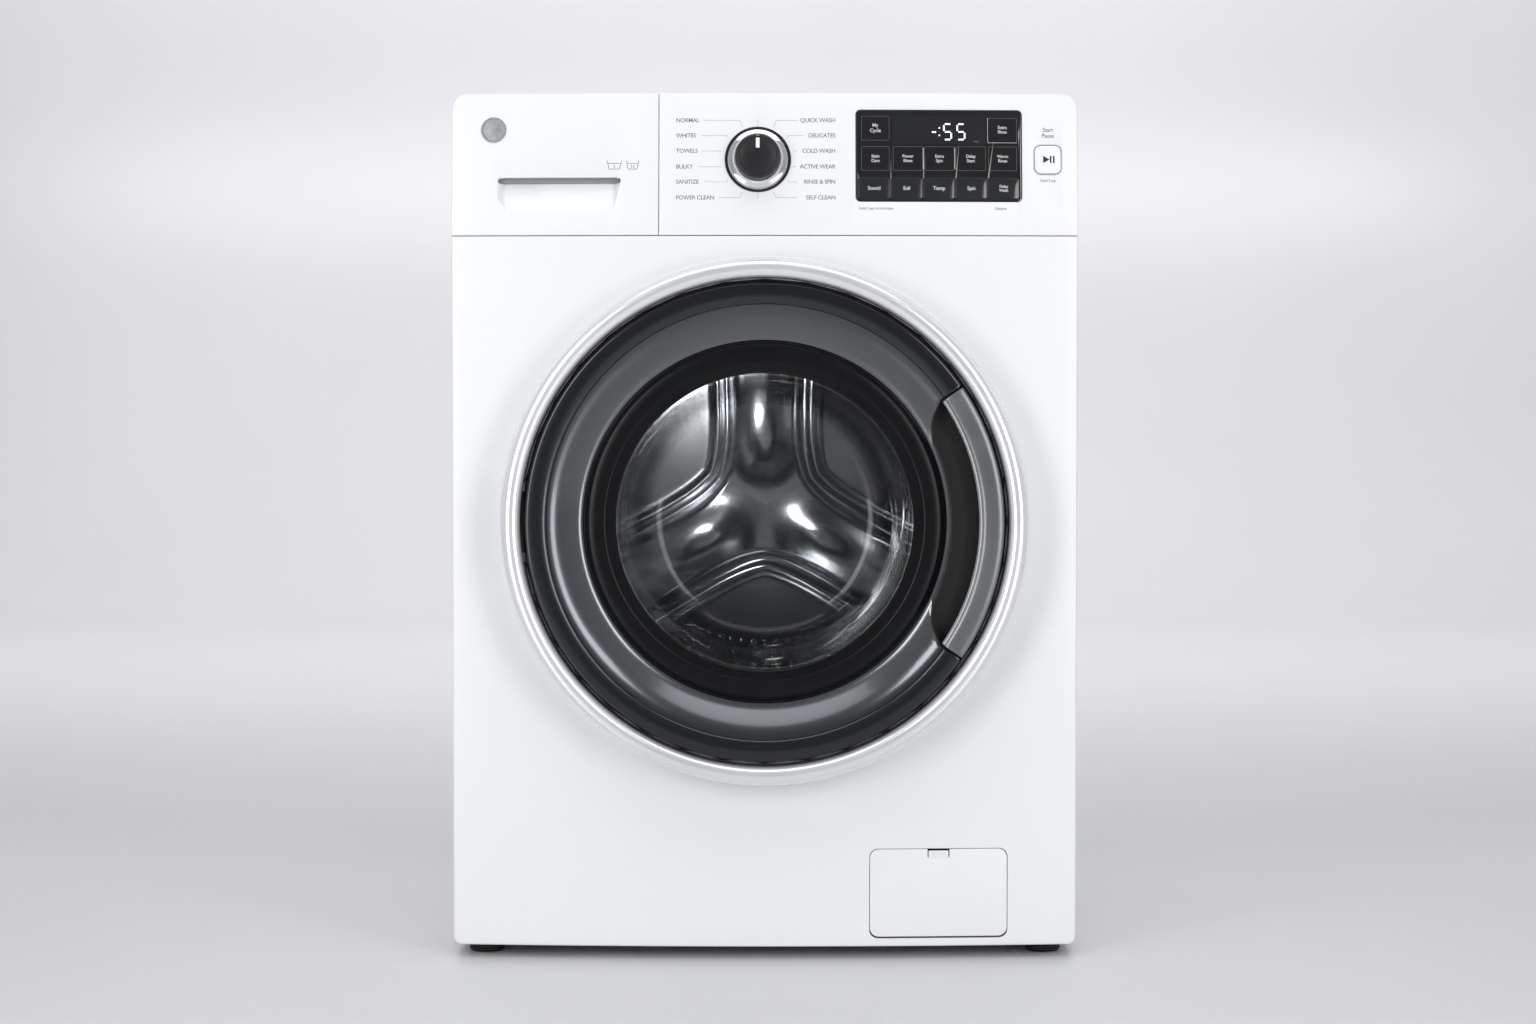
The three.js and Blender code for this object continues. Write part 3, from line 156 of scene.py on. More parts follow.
def modify(piece, kind, **settings):
    """Adds a modifier and applies it."""
    modifier = piece.modifiers.new(kind.lower(), kind)
    for key, value in settings.items():
        setattr(modifier, key, value)
    pick(piece)
    bpy.ops.object.modifier_apply(modifier=modifier.name)


def choose(piece, mode, test):
    """Opens the piece in edit mode with the faces or edges whose middle passes the test."""
    pick(piece)
    bpy.ops.object.mode_set(mode="EDIT")
    bpy.ops.mesh.select_mode(type=mode)
    bpy.ops.mesh.select_all(action="DESELECT")
    mesh = bmesh.from_edit_mesh(piece.data)
    for part in mesh.faces if mode == "FACE" else mesh.edges:
        corners = [v.co / MM for v in part.verts]
        if test(sum(corners, Vector()) / len(corners), part):
            part.select_set(True)
    mesh.select_flush_mode()
    bmesh.update_edit_mesh(piece.data)


def close_edit():
    bpy.ops.object.mode_set(mode="OBJECT")


def block(name, x, y, z):
    """Cuboid between limits in mm."""
    bpy.ops.object.select_all(action="DESELECT")
    middle = [(a + b) / 2 * MM for a, b in (x, y, z)]
    size = [(b - a) * MM for a, b in (x, y, z)]
    bpy.ops.mesh.primitive_cube_add(size=1, location=middle, scale=size)
    piece = bpy.context.object
    piece.name = piece.data.name = name
    bpy.ops.object.transform_apply(location=True, rotation=True, scale=True)
    return piece


def plate(name, x, y, z, radii, segments=8):
    """Cuboid with its front-view corners rounded: bottom left, bottom right, top right, top left."""
    piece = block(name, x, y, z)
    corners = [(x[0], z[0]), (x[1], z[0]), (x[1], z[1]), (x[0], z[1])]
    for (cx, cz), radius in zip(corners, radii):
        if radius > 0:
            near = lambda at, edge: abs(at.x - cx) < 0.01 and abs(at.z - cz) < 0.01
            choose(piece, "EDGE", near)
            bpy.ops.mesh.bevel(offset=radius * MM, segments=segments, affect="EDGES")
            close_edit()
    return piece


def soften(piece, width, segments=3, angle=35):
    """Small rounding on the sharp edges."""
    modify(
        piece,
        "BEVEL",
        width=width * MM,
        segments=segments,
        limit_method="ANGLE",
        angle_limit=math.radians(angle),
        use_clamp_overlap=True,
    )


def fit(piece, material, body, replaces=(), smooth=32):
    """Gives a finished piece its material, shading and body."""
    piece.data.materials.clear()
    piece.data.materials.append(material)
    pick(piece)
    bpy.ops.object.shade_smooth_by_angle(angle=math.radians(smooth))
    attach(piece, body)
    if replaces:
        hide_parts(*replaces)
    return piece


bpy.ops.object.select_all(action="DESELECT")
bpy.ops.mesh.primitive_plane_add(size=1, location=(0, -1.0, 0), scale=(1, 1, 1))
studio = bpy.context.object
studio.name = "studio_floor"
studio.scale = (16, 13, 1)
bpy.ops.object.transform_apply(location=True, rotation=True, scale=True)
choose(studio, "EDGE", lambda at, edge: at.y > 5400)
bpy.ops.mesh.extrude_region_move(TRANSFORM_OT_translate={"value": (0, 0, 5)})
close_edit()
choose(studio, "EDGE", lambda at, edge: at.y > 5400 and abs(at.z) < 1)
bpy.ops.mesh.bevel(offset=1.4, segments=16, affect="EDGES")
close_edit()
studio_paint = surface("painted_studio_floor", "dddddf", "dadadc", 900, 0.3, 0.02, 6, 0.02)
studio.data.materials.append(studio_paint)
pick(studio)
bpy.ops.object.shade_smooth_by_angle(angle=math.radians(30))

for name, place, turn, size, power in (
    ("overhead_softbox", (0, -1.5, 3.2), (math.radians(24), 0, 0), (3.4, 1.8), 26),
    ("left_softbox", (-1.8, -3.2, 1.1), (math.radians(88), 0, math.radians(-29)), (0.9, 2.2), 37),
    ("right_softbox", (1.8, -3.2, 1.1), (math.radians(88), 0, math.radians(29)), (0.9, 2.2), 32),
    ("wall_wash", (0, 2.4, 3.0), (math.radians(62), 0, 0), (5.0, 1.0), 98),
    ("drum_lamp", (-0.1, -0.14, 0.421 + 0.145), (math.radians(62), 0, math.radians(-22)), (0.1, 0.05), 0.6),
):
    bpy.ops.object.light_add(type="AREA", location=place, rotation=turn)
    lamp = bpy.context.object
    lamp.name = name
    lamp.data.shape = "RECTANGLE"
    lamp.data.size, lamp.data.size_y = size
    lamp.data.energy = power
# The room is bright behind the machine and dim behind the camera, which is what gives
# the polished rings their dark bands.
surround = bpy.data.worlds.new("studio_surround")
surround.use_nodes = True
tree = surround.node_tree
ahead = add_node(
    tree, "ShaderNodeSeparateXYZ", {"Vector": add_node(tree, "ShaderNodeTexCoord").outputs["Generated"]},
)
glow = add_node(
    tree, "ShaderNodeMapRange",
    {"Value": ahead.outputs["Y"], "From Min": -0.9, "From Max": 0.1, "To Min": 0.3, "To Max": 0.75},
)
tree.links.new(glow.outputs["Result"], tree.nodes["Background"].inputs["Strength"])
tree.nodes["Background"].inputs["Color"].default_value = linear("f2f3f5")
bpy.context.scene.world = surround
bpy.context.scene.view_settings.view_transform = "Standard"


# ---- Front panel
# One pressed sheet of steel, bowed in plan, with a round land behind the door, the
# loading port's lip and the opening for the filter flap. Powder coated white.
HALF = 300.0
FRONT_Y = -267.5
FRONT_BOW = 15.0
SEAM_Z = 693.5
FASCIA_LEAN = math.tan(math.radians(7))
FLOOR_GAP = 12.0
RETURN_DEPTH = 30.0
RETURN_Y = -222.5
SHEET = 1.2
DOOR_Z = 421.0
LAND_HOLE = 252.3
FLAP = (101.0, 233.0, 21.5, 105.8)
FLAP_CORNER = 8.4


def face_y(x, z):
    """The front's surface: bowed in plan, leaning back above the seam."""
    return FRONT_Y + FRONT_BOW * (x / HALF) ** 2 + FASCIA_LEAN * max(0.0, z - SEAM_Z)


def bow(piece, step=12.0):
    """Slices a piece that was made flat at y = 0 into strips and lays it on the front's surface."""
    xs = [corner[0] / MM for corner in piece.bound_box]
    low, high = min(xs), max(xs)
    strips = max(1, math.ceil((high - low) / step))
    pick(piece)
    bpy.ops.object.mode_set(mode="EDIT")
    for i in range(1, strips):
        bpy.ops.mesh.select_all(action="SELECT")
        x = (low + (high - low) * i / strips) * MM
        bpy.ops.mesh.bisect(plane_co=(x, 0, 0), plane_no=(1, 0, 0))
    close_edit()
    for vertex in piece.data.vertices:
        at = vertex.co / MM
        at_back = at.y > RETURN_DEPTH - 1
        vertex.co.y = (RETURN_Y if at_back else at.y + face_y(at.x, at.z)) * MM
    piece.data.update()


def turned(name, outline, steps=144, sweep=360.0, start=0.0, centre=(0, 0, DOOR_Z)):
    """Closed outline of (radius, y) in mm, turned about an axis along y."""
    bpy.ops.object.select_all(action="DESELECT")
    bpy.ops.mesh.primitive_circle_add(vertices=len(outline), fill_type="NOTHING")
    piece = bpy.context.object
    piece.name = piece.data.name = name
    turn = math.radians(start)
    for vertex, (radius, y) in zip(piece.data.vertices, outline):
        vertex.co = Vector((radius * math.cos(turn), y, radius * math.sin(turn))) * MM
    bpy.ops.object.mode_set(mode="EDIT")
    bpy.ops.mesh.select_all(action="SELECT")
    bpy.ops.mesh.spin(steps=steps, angle=math.radians(sweep), center=(0, 0, 0), axis=(0, 1, 0))
    bpy.ops.mesh.select_all(action="SELECT")
    bpy.ops.mesh.remove_doubles(threshold=1e-5)
    if sweep < 360:
        bpy.ops.mesh.fill_holes(sides=0)
        bpy.ops.mesh.select_all(action="SELECT")
    bpy.ops.mesh.normals_make_consistent(inside=False)
    close_edit()
    piece.data.transform(Matrix.Translation(Vector(centre) * MM))
    return piece


def combine(piece, operation, *tools):
    """Booleans each tool with the piece and removes the tool."""
    for tool in tools:
        modify(piece, "BOOLEAN", operation=operation, object=tool, solver="EXACT")
        bpy.data.objects.remove(tool, do_unlink=True)


def open_shell(piece, back):
    """Removes the flat faces at the back of a hollow front."""
    choose(piece, "FACE", lambda at, face: at.y > back - 0.5 and abs(face.normal.y) > 0.9)
    bpy.ops.mesh.delete(type="FACE")
    close_edit()


# Powder coat: bright, even white with the faintest orange peel in its gloss.
powder_coat = surface("powder_coated_steel_white", "f1f2f4", "eff0f2", 240, 0.34, 0.008, 1.6, 0.006)
panel = plate("front_panel_sheet", (-HALF, HALF), (0, RETURN_DEPTH), (FLOOR_GAP, SEAM_Z - 0.3), (8, 8, 0, 0))
combine(
    panel,
    "DIFFERENCE",
    plate(
        "flap_hole", (FLAP[0] - 0.6, FLAP[1] + 0.6), (-9, 60), (FLAP[2] - 1.7, FLAP[3] + 0.6),
        (FLAP_CORNER,) * 4,
    ),
    turned("land_hole", [(0.001, -9), (LAND_HOLE, -9), (LAND_HOLE, 60), (0.001, 60)]),
)
open_shell(panel, RETURN_DEPTH)


def hole_wall(at, face):
    """Faces on the wall of the round hole behind the door."""
    off_axis = math.hypot(at.x, at.z - DOOR_Z)
    return abs(off_axis - LAND_HOLE) < 1 and abs(face.normal.y) < 0.1 and at.y > 5


def outer_edge(at, edge):
    """Sharp edges round the outside of the sheet, without those of the flap's opening."""
    at_rim = abs(abs(at.x) - HALF) < 9 or at.z > SEAM_Z - 1 or at.z < 20.1
    by_flap = FLAP[0] - 2 < at.x < FLAP[1] + 2 and at.z > 13
    return abs(at.y) < 0.01 and at_rim and not by_flap and edge.calc_face_angle(0) > 0.5


choose(panel, "FACE", hole_wall)
bpy.ops.mesh.delete(type="FACE")
close_edit()
choose(panel, "EDGE", outer_edge)
bpy.ops.mesh.bevel(offset=2.2 * MM, segments=4, affect="EDGES")
close_edit()
bow(panel)
modify(panel, "SOLIDIFY", thickness=SHEET * MM, offset=-1, use_even_offset=True)
land = turned(
    "door_land",
    [
        (253, -246), (253, -267.2), (252.5, -268.4), (251.4, -269), (167.4, -269), (165.6, -268.2),
        (165, -266.4),
        (165, -255), (166.2, -255), (166.2, -267), (167.4, -267.8), (251.8, -267.8), (251.8, -246),
    ],
)
combine(panel, "UNION", land)
combine(
    panel,
    "DIFFERENCE",
    plate("arm_slot", (-244.6, -231.4), (-275, -262), (DOOR_Z - 39, DOOR_Z + 39), (2, 2, 2, 2)),
    plate("hook_slot", (200, 225.9), (-275, -262), (DOOR_Z - 9, DOOR_Z + 9), (3, 3, 3, 3)),
)
fit(panel, powder_coat, "cabinet", ["front_panel"])


# ---- Drawer front
# The left third of the control fascia, moulded in white ABS. It clips to the dispenser
# drawer and has a scooped grip with an undercut along its top edge.
TOP = 830.0
SPLIT_X = -101.0
FASCIA_WALL = 3.0
TOP_CORNER = 14.5
SCOOP = (-258.8, -134.3, 716.4, 749.2)
SCOOP_DEPTH = 13.0
white_abs = surface("moulded_abs_white", "f2f3f5", "f0f1f3", 200, 0.36, 0.008, 0.9, 0.008)


def fascia_shell(name, x0, x1, radii):
    """Hollow front moulding between two ends, still flat, with its front edges rounded."""
    shell = plate(name, (x0, x1), (0, RETURN_DEPTH), (SEAM_Z + 0.3, TOP), radii)
    rim = lambda at, edge: abs(at.y) < 0.01 and edge.calc_face_angle(0) > 0.5
    choose(shell, "EDGE", rim)
    bpy.ops.mesh.bevel(offset=1.2 * MM, segments=3, affect="EDGES")
    close_edit()
    open_shell(shell, RETURN_DEPTH)
    return shell


def scoop_tool(name, grow):
    """The grip's hollow: flush along its lower edge, deepest under its upper edge."""
    tool = plate(
        name, (SCOOP[0] - grow, SCOOP[1] + grow), (-6, SCOOP_DEPTH + grow),
        (SCOOP[2] - grow, SCOOP[3] + grow), (5, 5, 3, 3), 4,
    )
    for vertex in tool.data.vertices:
        at = vertex.co / MM
        if at.y > 0:
            rise = max(0.0, min(1.0, (at.z - SCOOP[2]) / (SCOOP[3] - SCOOP[2])))
            side = 9.0 if at.x > (SCOOP[0] + SCOOP[1]) / 2 else -9.0
            vertex.co.x -= side * MM
            vertex.co.y = (0.2 + grow + (SCOOP_DEPTH - 0.2) * (1 if rise > 0.5 else 0)) * MM
    return tool


drawer = fascia_shell("drawer_front_moulding", -HALF, SPLIT_X - 0.3, (0, 0, 0, TOP_CORNER))
modify(drawer, "SOLIDIFY", thickness=FASCIA_WALL * MM, offset=-1, use_even_offset=True)
combine(
    drawer, "UNION",
    plate(
        "scoop_backing", (SCOOP[0] - 3, SCOOP[1] + 3), (1.5, 19.5), (SCOOP[2] - 3, SCOOP[3] + 3),
        (6, 6, 4, 4),
    ),
)
combine(drawer, "DIFFERENCE", scoop_tool("scoop", 0))
combine(
    drawer, "DIFFERENCE",
    plate("finger_slot", (-255.4, -137.2), (-6, 18), (743.6, 748.4), (2.3, 2.3, 2.3, 2.3), 4),
)
soften(drawer, 0.6, 2, 40)
bow(drawer, 16)
fit(drawer, white_abs, "drawer", ["drawer_front"])
# Grey insert in the undercut: painted shade, standing for the shadow inside the deep finger slot.
grip_slot_painted_shade = surface("painted_slot_shade_abs_grey", "8f9195", "898b8f", 20, 0.55, 0.03, 0.8, 0.02)
slot_shade_insert = plate("drawer_grip_painted_shade", (-255.2, -137.4), (9.5, 17.8), (743.8, 748.2), (2.2, 2.2, 2.2, 2.2), 5)
soften(slot_shade_insert, 0.3, 2)
bow(slot_shade_insert, 16)
fit(slot_shade_insert, grip_slot_painted_shade, "drawer")

# ---- Badge
# Plain pressed aluminium disc with a raised rim, bonded to the drawer front.
BADGE_X, BADGE_Z, BADGE_R = -259.4, 795.0, 12.2


def seat(x, z):
    """Placing matrix of something that stands squarely on the front at x, z."""
    slope = math.atan(2 * FRONT_BOW * x / HALF**2)
    lean = math.radians(-7) if z > SEAM_Z else 0.0
    turn = Matrix.Rotation(slope, 4, "Z") @ Matrix.Rotation(lean, 4, "X")
    return Matrix.Translation(Vector((x, face_y(x, z), z)) * MM) @ turn


badge_silver = surface("spun_aluminium_grey", "a4a6a9", "909296", 3, 0.36, 0.04, 0.4, 0.01, Metallic=0.5)
badge = turned(
    "round_badge",
    [
        (0.001, 0.4), (BADGE_R, 0.4), (BADGE_R, -0.7), (BADGE_R - 0.5, -1.1), (BADGE_R - 1.2, -1.1),
        (BADGE_R - 1.7, -0.5),
        (BADGE_R - 3, -0.45), (4.5, -0.8), (0.001, -0.9),
    ],
    72,
    centre=(0, 0, 0),
)
badge.data.transform(seat(BADGE_X, BADGE_Z))
fit(badge, badge_silver, "drawer")

# ---- Printing
# Silk-screened words, leader lines and symbols in grey ink, a twentieth of a
# millimetre thick, laid on the mouldings.
INK = 0.05
grey_ink = surface("screen_print_ink_grey", "6b6d71", "66686c", 12, 0.6, 0.02, 0.5, 0.005)
pale_ink = surface("screen_print_ink_pale", "b9bbbe", "b2b4b8", 12, 0.6, 0.02, 0.5, 0.005)


def words(text, x, z, height, align="CENTER", spacing=1.0, weight=0.0):
    """Flat letters of the given cap height in mm, standing in the plane y = 0."""
    bpy.ops.object.select_all(action="DESELECT")
    bpy.ops.object.text_add(location=(0, 0, 0))
    letters = bpy.context.object
    letters.data.body = text
    letters.data.align_x = align
    letters.data.align_y = "CENTER"
    letters.data.size = height / 0.71 * MM
    letters.data.space_character = spacing
    letters.data.space_line = 1.02
    letters.data.offset = weight * MM
    letters.data.extrude = INK * MM
    letters.data.resolution_u = 3
    pick(letters)
    bpy.ops.object.convert(target="MESH")
    upright = Matrix.Translation(Vector((x, 0, z)) * MM) @ Matrix.Rotation(math.radians(90), 4, "X")
    letters.data.transform(upright)
    return letters


def bar(a, b, width, y=(-INK, INK)):
    """Flat stroke from a to b, both (x, z) in mm, in the plane y = 0."""
    dx, dz = b[0] - a[0], b[1] - a[1]
    length = math.hypot(dx, dz)
    stroke = block("stroke", (-length / 2, length / 2), y, (-width / 2, width / 2))
    turn = Matrix.Rotation(-math.atan2(dz, dx), 4, "Y")
    stroke.data.transform(Matrix.Translation(Vector(((a[0] + b[0]) / 2, 0, (a[1] + b[1]) / 2)) * MM) @ turn)
    return stroke


def path(points, width, closed=False):
    """Strokes along a line of (x, z) points."""
    ends = points[1:] + points[:1] if closed else points[1:]
    return [bar(a, b, width) for a, b in zip(points, ends)]


def join(name, pieces):
    bpy.ops.object.select_all(action="DESELECT")
    for piece in pieces:
        piece.select_set(True)
    bpy.context.view_layer.objects.active = pieces[0]
    bpy.ops.object.join()
    pieces[0].name = pieces[0].data.name = name
    return pieces[0]


def lay_on_front(piece, proud=0.0):
    """Lays a flat piece's points on the front's surface, `proud` mm out from it."""
    for vertex in piece.data.vertices:
        vertex.co.y += (face_y(vertex.co.x / MM, vertex.co.z / MM) - proud) * MM


def rounded(x0, x1, z0, z1, radius, steps=4):
    """Points round a rectangle with rounded corners."""
    points = []
    for cx, cz, first in (
        (x1 - radius, z1 - radius, 0), (x0 + radius, z1 - radius, 90), (x0 + radius, z0 + radius, 180),
        (x1 - radius, z0 + radius, 270),
    ):
        for i in range(steps + 1):
            turn = math.radians(first + 90 * i / steps)
            points.append((cx + radius * math.cos(turn), cz + radius * math.sin(turn)))
    return points


LABEL_HEIGHT = 4.0
LABEL_ROWS = (803.5, 788.9, 774.2, 759.1, 744.6, 729.5)
LEFT_LABELS = ("NORMAL", "WHITES", "TOWELS", "BULKY", "SANITIZE", "POWER CLEAN")
RIGHT_LABELS = ("QUICK WASH", "DELICATES", "COLD WASH", "ACTIVE WEAR", "RINSE & SPIN", "SELF CLEAN")
labels = [words(text, -84.7, z, LABEL_HEIGHT, "LEFT", 0.93, 0.04) for text, z in zip(LEFT_LABELS, LABEL_ROWS)]
labels += [
    words(text, 67.7, z, LABEL_HEIGHT, "RIGHT", 0.93, 0.04)
    for text, z in zip(RIGHT_LABELS, LABEL_ROWS)
]
labels.append(words("Start\nPause", 271.2, 792.2, 3.9, "CENTER", 0.95, 0.05))
labels.append(words("Hold 3 sec", 271.2, 746.3, 2.6, "CENTER", 0.95, 0.03))
labels.append(words("Hold 3 sec to lock keys", 106, 719.4, 2.6, "CENTER", 0.95, 0.03))
labels.append(words("Options", 225.5, 719.4, 2.6, "CENTER", 0.95, 0.03))
programme_labels = join("programme_labels", labels)
lay_on_front(programme_labels)
fit(programme_labels, grey_ink, "cabinet")

LEADERS = (
    [(-58.7, 803.5), (-23.8, 803.5), (-20.6, 797.1)],
    [(-60.3, 788.9), (-36.0, 788.9), (-34.0, 786.7)],
    [(-59.9, 774.2), (-40.5, 774.2)],
    [(-62.7, 759.1), (-41.1, 759.1)],
    [(-57.8, 744.6), (-36.0, 744.6), (-35.1, 746.4)],
    [(-43.6, 729.5), (-23.8, 729.5), (-21.4, 734.7)],
    [(31.4, 803.5), (11.0, 803.5), (8.4, 797.1)],
    [(36.9, 788.9), (22.9, 788.9), (21.5, 786.7)],
    [(30.8, 774.2), (26.7, 774.2)],
    [(30.2, 759.1), (26.7, 759.1)],
    [(31.2, 744.6), (23.5, 744.6), (21.8, 746.1)],
    [(31.2, 729.5), (11.0, 729.5), (8.4, 734.7)],
    [(-6.4, 804.6), (-6.4, 798.3)],
    [(-6.4, 733.9), (-6.4, 728.6)],
)
strokes = [stroke for line in LEADERS for stroke in path(line, 0.5)]
strokes += path(rounded(257.4, 284.8, 752.0, 780.9, 6.6), 0.6, closed=True)
programme_lines = join("programme_lines", strokes)
lay_on_front(programme_lines)
fit(programme_lines, pale_ink, "cabinet")

tub_marks = []
for x, half, shots in ((-143.5, 6.9, 1), (-126.0, 5.8, 2)):
    tub_marks += path(
        [(x - half, 765.0), (x - half * 0.72, 757.0), (x + half * 0.72, 757.0), (x + half, 765.0)], 0.6,
    )
    tub_marks += path([(x - half * 0.88, 762.4), (x + half * 0.88, 762.4)], 0.5)
    for i in range(shots):
        at = x + (i - (shots - 1) / 2) * 2.2
        tub_marks += path([(at, 758.3), (at, 761.2)], 0.6)
detergent_symbols = join("detergent_symbols", tub_marks)
lay_on_front(detergent_symbols)
fit(detergent_symbols, grey_ink, "drawer")

# ---- Control fascia
# The rest of the fascia, moulded like the drawer front, with a window for the display
# and holes for the start button and the knob's shaft.
DISPLAY = (87.0, 246.0, 726.0, 813.6)
DISPLAY_CORNER = 4.5
BUTTON_X, BUTTON_Z = 271.0, 766.5
BUTTON_W, BUTTON_H, BUTTON_R = 25.3, 27.0, 6.0
KNOB_X, KNOB_Z = -6.5, 766.0
fascia = fascia_shell("control_fascia_moulding", SPLIT_X + 0.3, HALF, (0, 0, TOP_CORNER, 0))
modify(fascia, "SOLIDIFY", thickness=FASCIA_WALL * MM, offset=-1, use_even_offset=True)
combine(
    fascia,
    "DIFFERENCE",
    plate(
        "window", (DISPLAY[0] - 0.4, DISPLAY[1] + 0.4), (-9, 20), (DISPLAY[2] - 0.4, DISPLAY[3] + 0.4),
        (DISPLAY_CORNER + 0.4,) * 4,
    ),
    plate(
        "button_hole", (BUTTON_X - BUTTON_W / 2 - 0.5, BUTTON_X + BUTTON_W / 2 + 0.5), (-9, 20),
        (BUTTON_Z - BUTTON_H / 2 - 0.5, BUTTON_Z + BUTTON_H / 2 + 0.5), (BUTTON_R + 0.5,) * 4,
    ),
    turned("shaft_hole", [(0.001, -9), (6, -9), (6, 20), (0.001, 20)], 32, centre=(KNOB_X, 0, KNOB_Z)),
)
soften(fascia, 0.4, 2, 40)
bow(fascia, 16)
fit(fascia, white_abs, "cabinet", ["control_fascia"])

# ---- Programme knob
# Black ABS cap on a chromed skirt, turned on a shaft, with a white pointer printed on
# the cap. A black ring is let into the fascia round it.
knob_place = seat(KNOB_X, KNOB_Z)
black_abs = surface("moulded_abs_black", "1b1c1e", "151618", 18, 0.36, 0.05, 0.7, 0.02)
chrome_plate = surface("chrome_plated_abs", "f0f1f3", "e6e8ea", 120, 0.07, 0.025, 3.0, 0.004, Metallic=1.0)
knob_ring = turned(
    "knob_bezel", [(28.9, 0.5), (31.6, 0.5), (31.6, -0.6), (31.0, -1.1), (29.6, -1.1), (28.9, -0.5)], 96,
    centre=(0, 0, 0),
)
knob_ring.data.transform(knob_place)
fit(knob_ring, black_abs, "cabinet")
skirt = turned(
    "knob_skirt",
    [
        (21, -1.0), (28.0, -1.0), (28.3, -1.6), (28.3, -4.6), (27.9, -5.4), (27.0, -5.9), (24.5, -6.6),
        (23.2, -7.6),
        (22.6, -9.0), (21.0, -9.0),
    ],
    96,
    centre=(0, 0, 0),
)
skirt.data.transform(knob_place)
fit(skirt, chrome_plate, "knob")
cap = turned(
    "knob_cap",
    [
        (0.001, 15.6), (3.9, 15.6), (3.9, -0.8), (20.6, -0.8), (21.9, -8.6), (21.5, -19.0), (21.1, -20.6),
        (20.2, -21.6), (19.0, -22.0),
        (17.6, -21.9), (15.5, -21.4), (9.0, -20.9), (0.001, -20.7),
    ],
    96,
    centre=(0, 0, 0),
)
cap.data.transform(knob_place)
fit(cap, black_abs, "knob", ["program_knob"])
white_print = surface("pad_print_white", "f2f2f0", "eeeeec", 10, 0.5, 0.03, 0.5, 0.01)
pointer = plate("knob_pointer", (-1.8, 1.8), (-22.0, -20.0), (7.5, 19.6), (0.4, 0.4, 0.4, 0.4), 3)
for vertex in pointer.data.vertices:
    if vertex.co.y < -21 * MM:
        reach = math.hypot(vertex.co.x, vertex.co.z) / MM
        vertex.co.y = -(21.75 if reach > 15.5 else 21.1) * MM - 0.15 * MM
pointer.data.transform(knob_place)
fit(pointer, white_print, "knob")

# ---- Display
# Black acrylic panel, bowed to follow the fascia, with a dark window for the digits,
# outlined touch fields, and five real keys along its lower edge.
KEYS = 5
KEY_W, KEY_H, KEY_PITCH, KEY_R = 29.6, 20.4, 31.0, 2.0
KEY_FIRST, KEY_Z = 104.5, 738.7
acrylic = surface(
    "cast_acrylic_black", "111214", "0d0e10", 60, 0.1, 0.02, 8, 0.004, Coat_Weight=0.6, Coat_Roughness=0.03,
)
display = plate(
    "display_panel", (DISPLAY[0], DISPLAY[1]), (0.2, 4.2), (DISPLAY[2], DISPLAY[3]), (DISPLAY_CORNER,) * 4,
)
combine(
    display,
    "DIFFERENCE",
    *[
        plate(
            "key_hole",
            (KEY_FIRST + i * KEY_PITCH - KEY_W / 2 - 0.35, KEY_FIRST + i * KEY_PITCH + KEY_W / 2 + 0.35),
            (-6, 9), (KEY_Z - KEY_H / 2 - 0.35, KEY_Z + KEY_H / 2 + 0.35), (KEY_R + 0.3,) * 4, 4,
        )
        for i in range(KEYS)
    ],
)
soften(display, 0.35, 2, 40)
bow(display, 12)
fit(display, acrylic, "cabinet", ["display_module"])
board_low, board_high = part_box("display_module")
board = block(
    "display_electronics_box", (board_low.x / MM, board_high.x / MM), (-220.5, board_high.y / MM),
    (720, 811.6),
)
choose(board, "FACE", lambda at, face: face.normal.y > 0.9)
bpy.ops.mesh.inset(thickness=4 * MM)
bpy.ops.mesh.extrude_region_move(TRANSFORM_OT_translate={"value": (0, -1.5 * MM, 0)})
close_edit()
soften(board, 1.0, 2)
fit(board, black_abs, "cabinet")

window_black = surface(
    "smoked_acrylic_window", "1d1e20", "1b1c1e", 40, 0.12, 0.02, 8, 0.004, Coat_Weight=0.5,
    Coat_Roughness=0.03,
)
window = plate("digit_window", (122.4, 211.1), (0.05, 0.6), (781.1, 807.6), (1.2, 1.2, 1.2, 1.2), 3)
bow(window, 12)
fit(window, window_black, "cabinet")

field_ink = surface("screen_print_ink_silver", "5f6165", "55575b", 12, 0.45, 0.02, 0.5, 0.005)
white_print_and_highlight_ink = surface("white_print_ink_and_painted_highlights", "d9dadc", "d2d3d5", 12, 0.5, 0.02, 0.5, 0.005)
FIELDS = ((92.5, 118.9), (122.7, 150.9), (152.9, 181.1), (182.9, 211.1), (214.1, 241.1))
fields = path(rounded(92.5, 118.9, 784.7, 807.6, 0.8, 2), 0.35, closed=True)
fields += path(rounded(213.5, 241.1, 782.8, 806.1, 0.8, 2), 0.35, closed=True)
for x0, x1 in FIELDS:
    fields += path(rounded(x0, x1, 755.8, 778.6, 0.8, 2), 0.35, closed=True)
field_lines = join("touch_field_lines", fields)
lay_on_front(field_lines, -0.2)
fit(field_lines, field_ink, "cabinet")
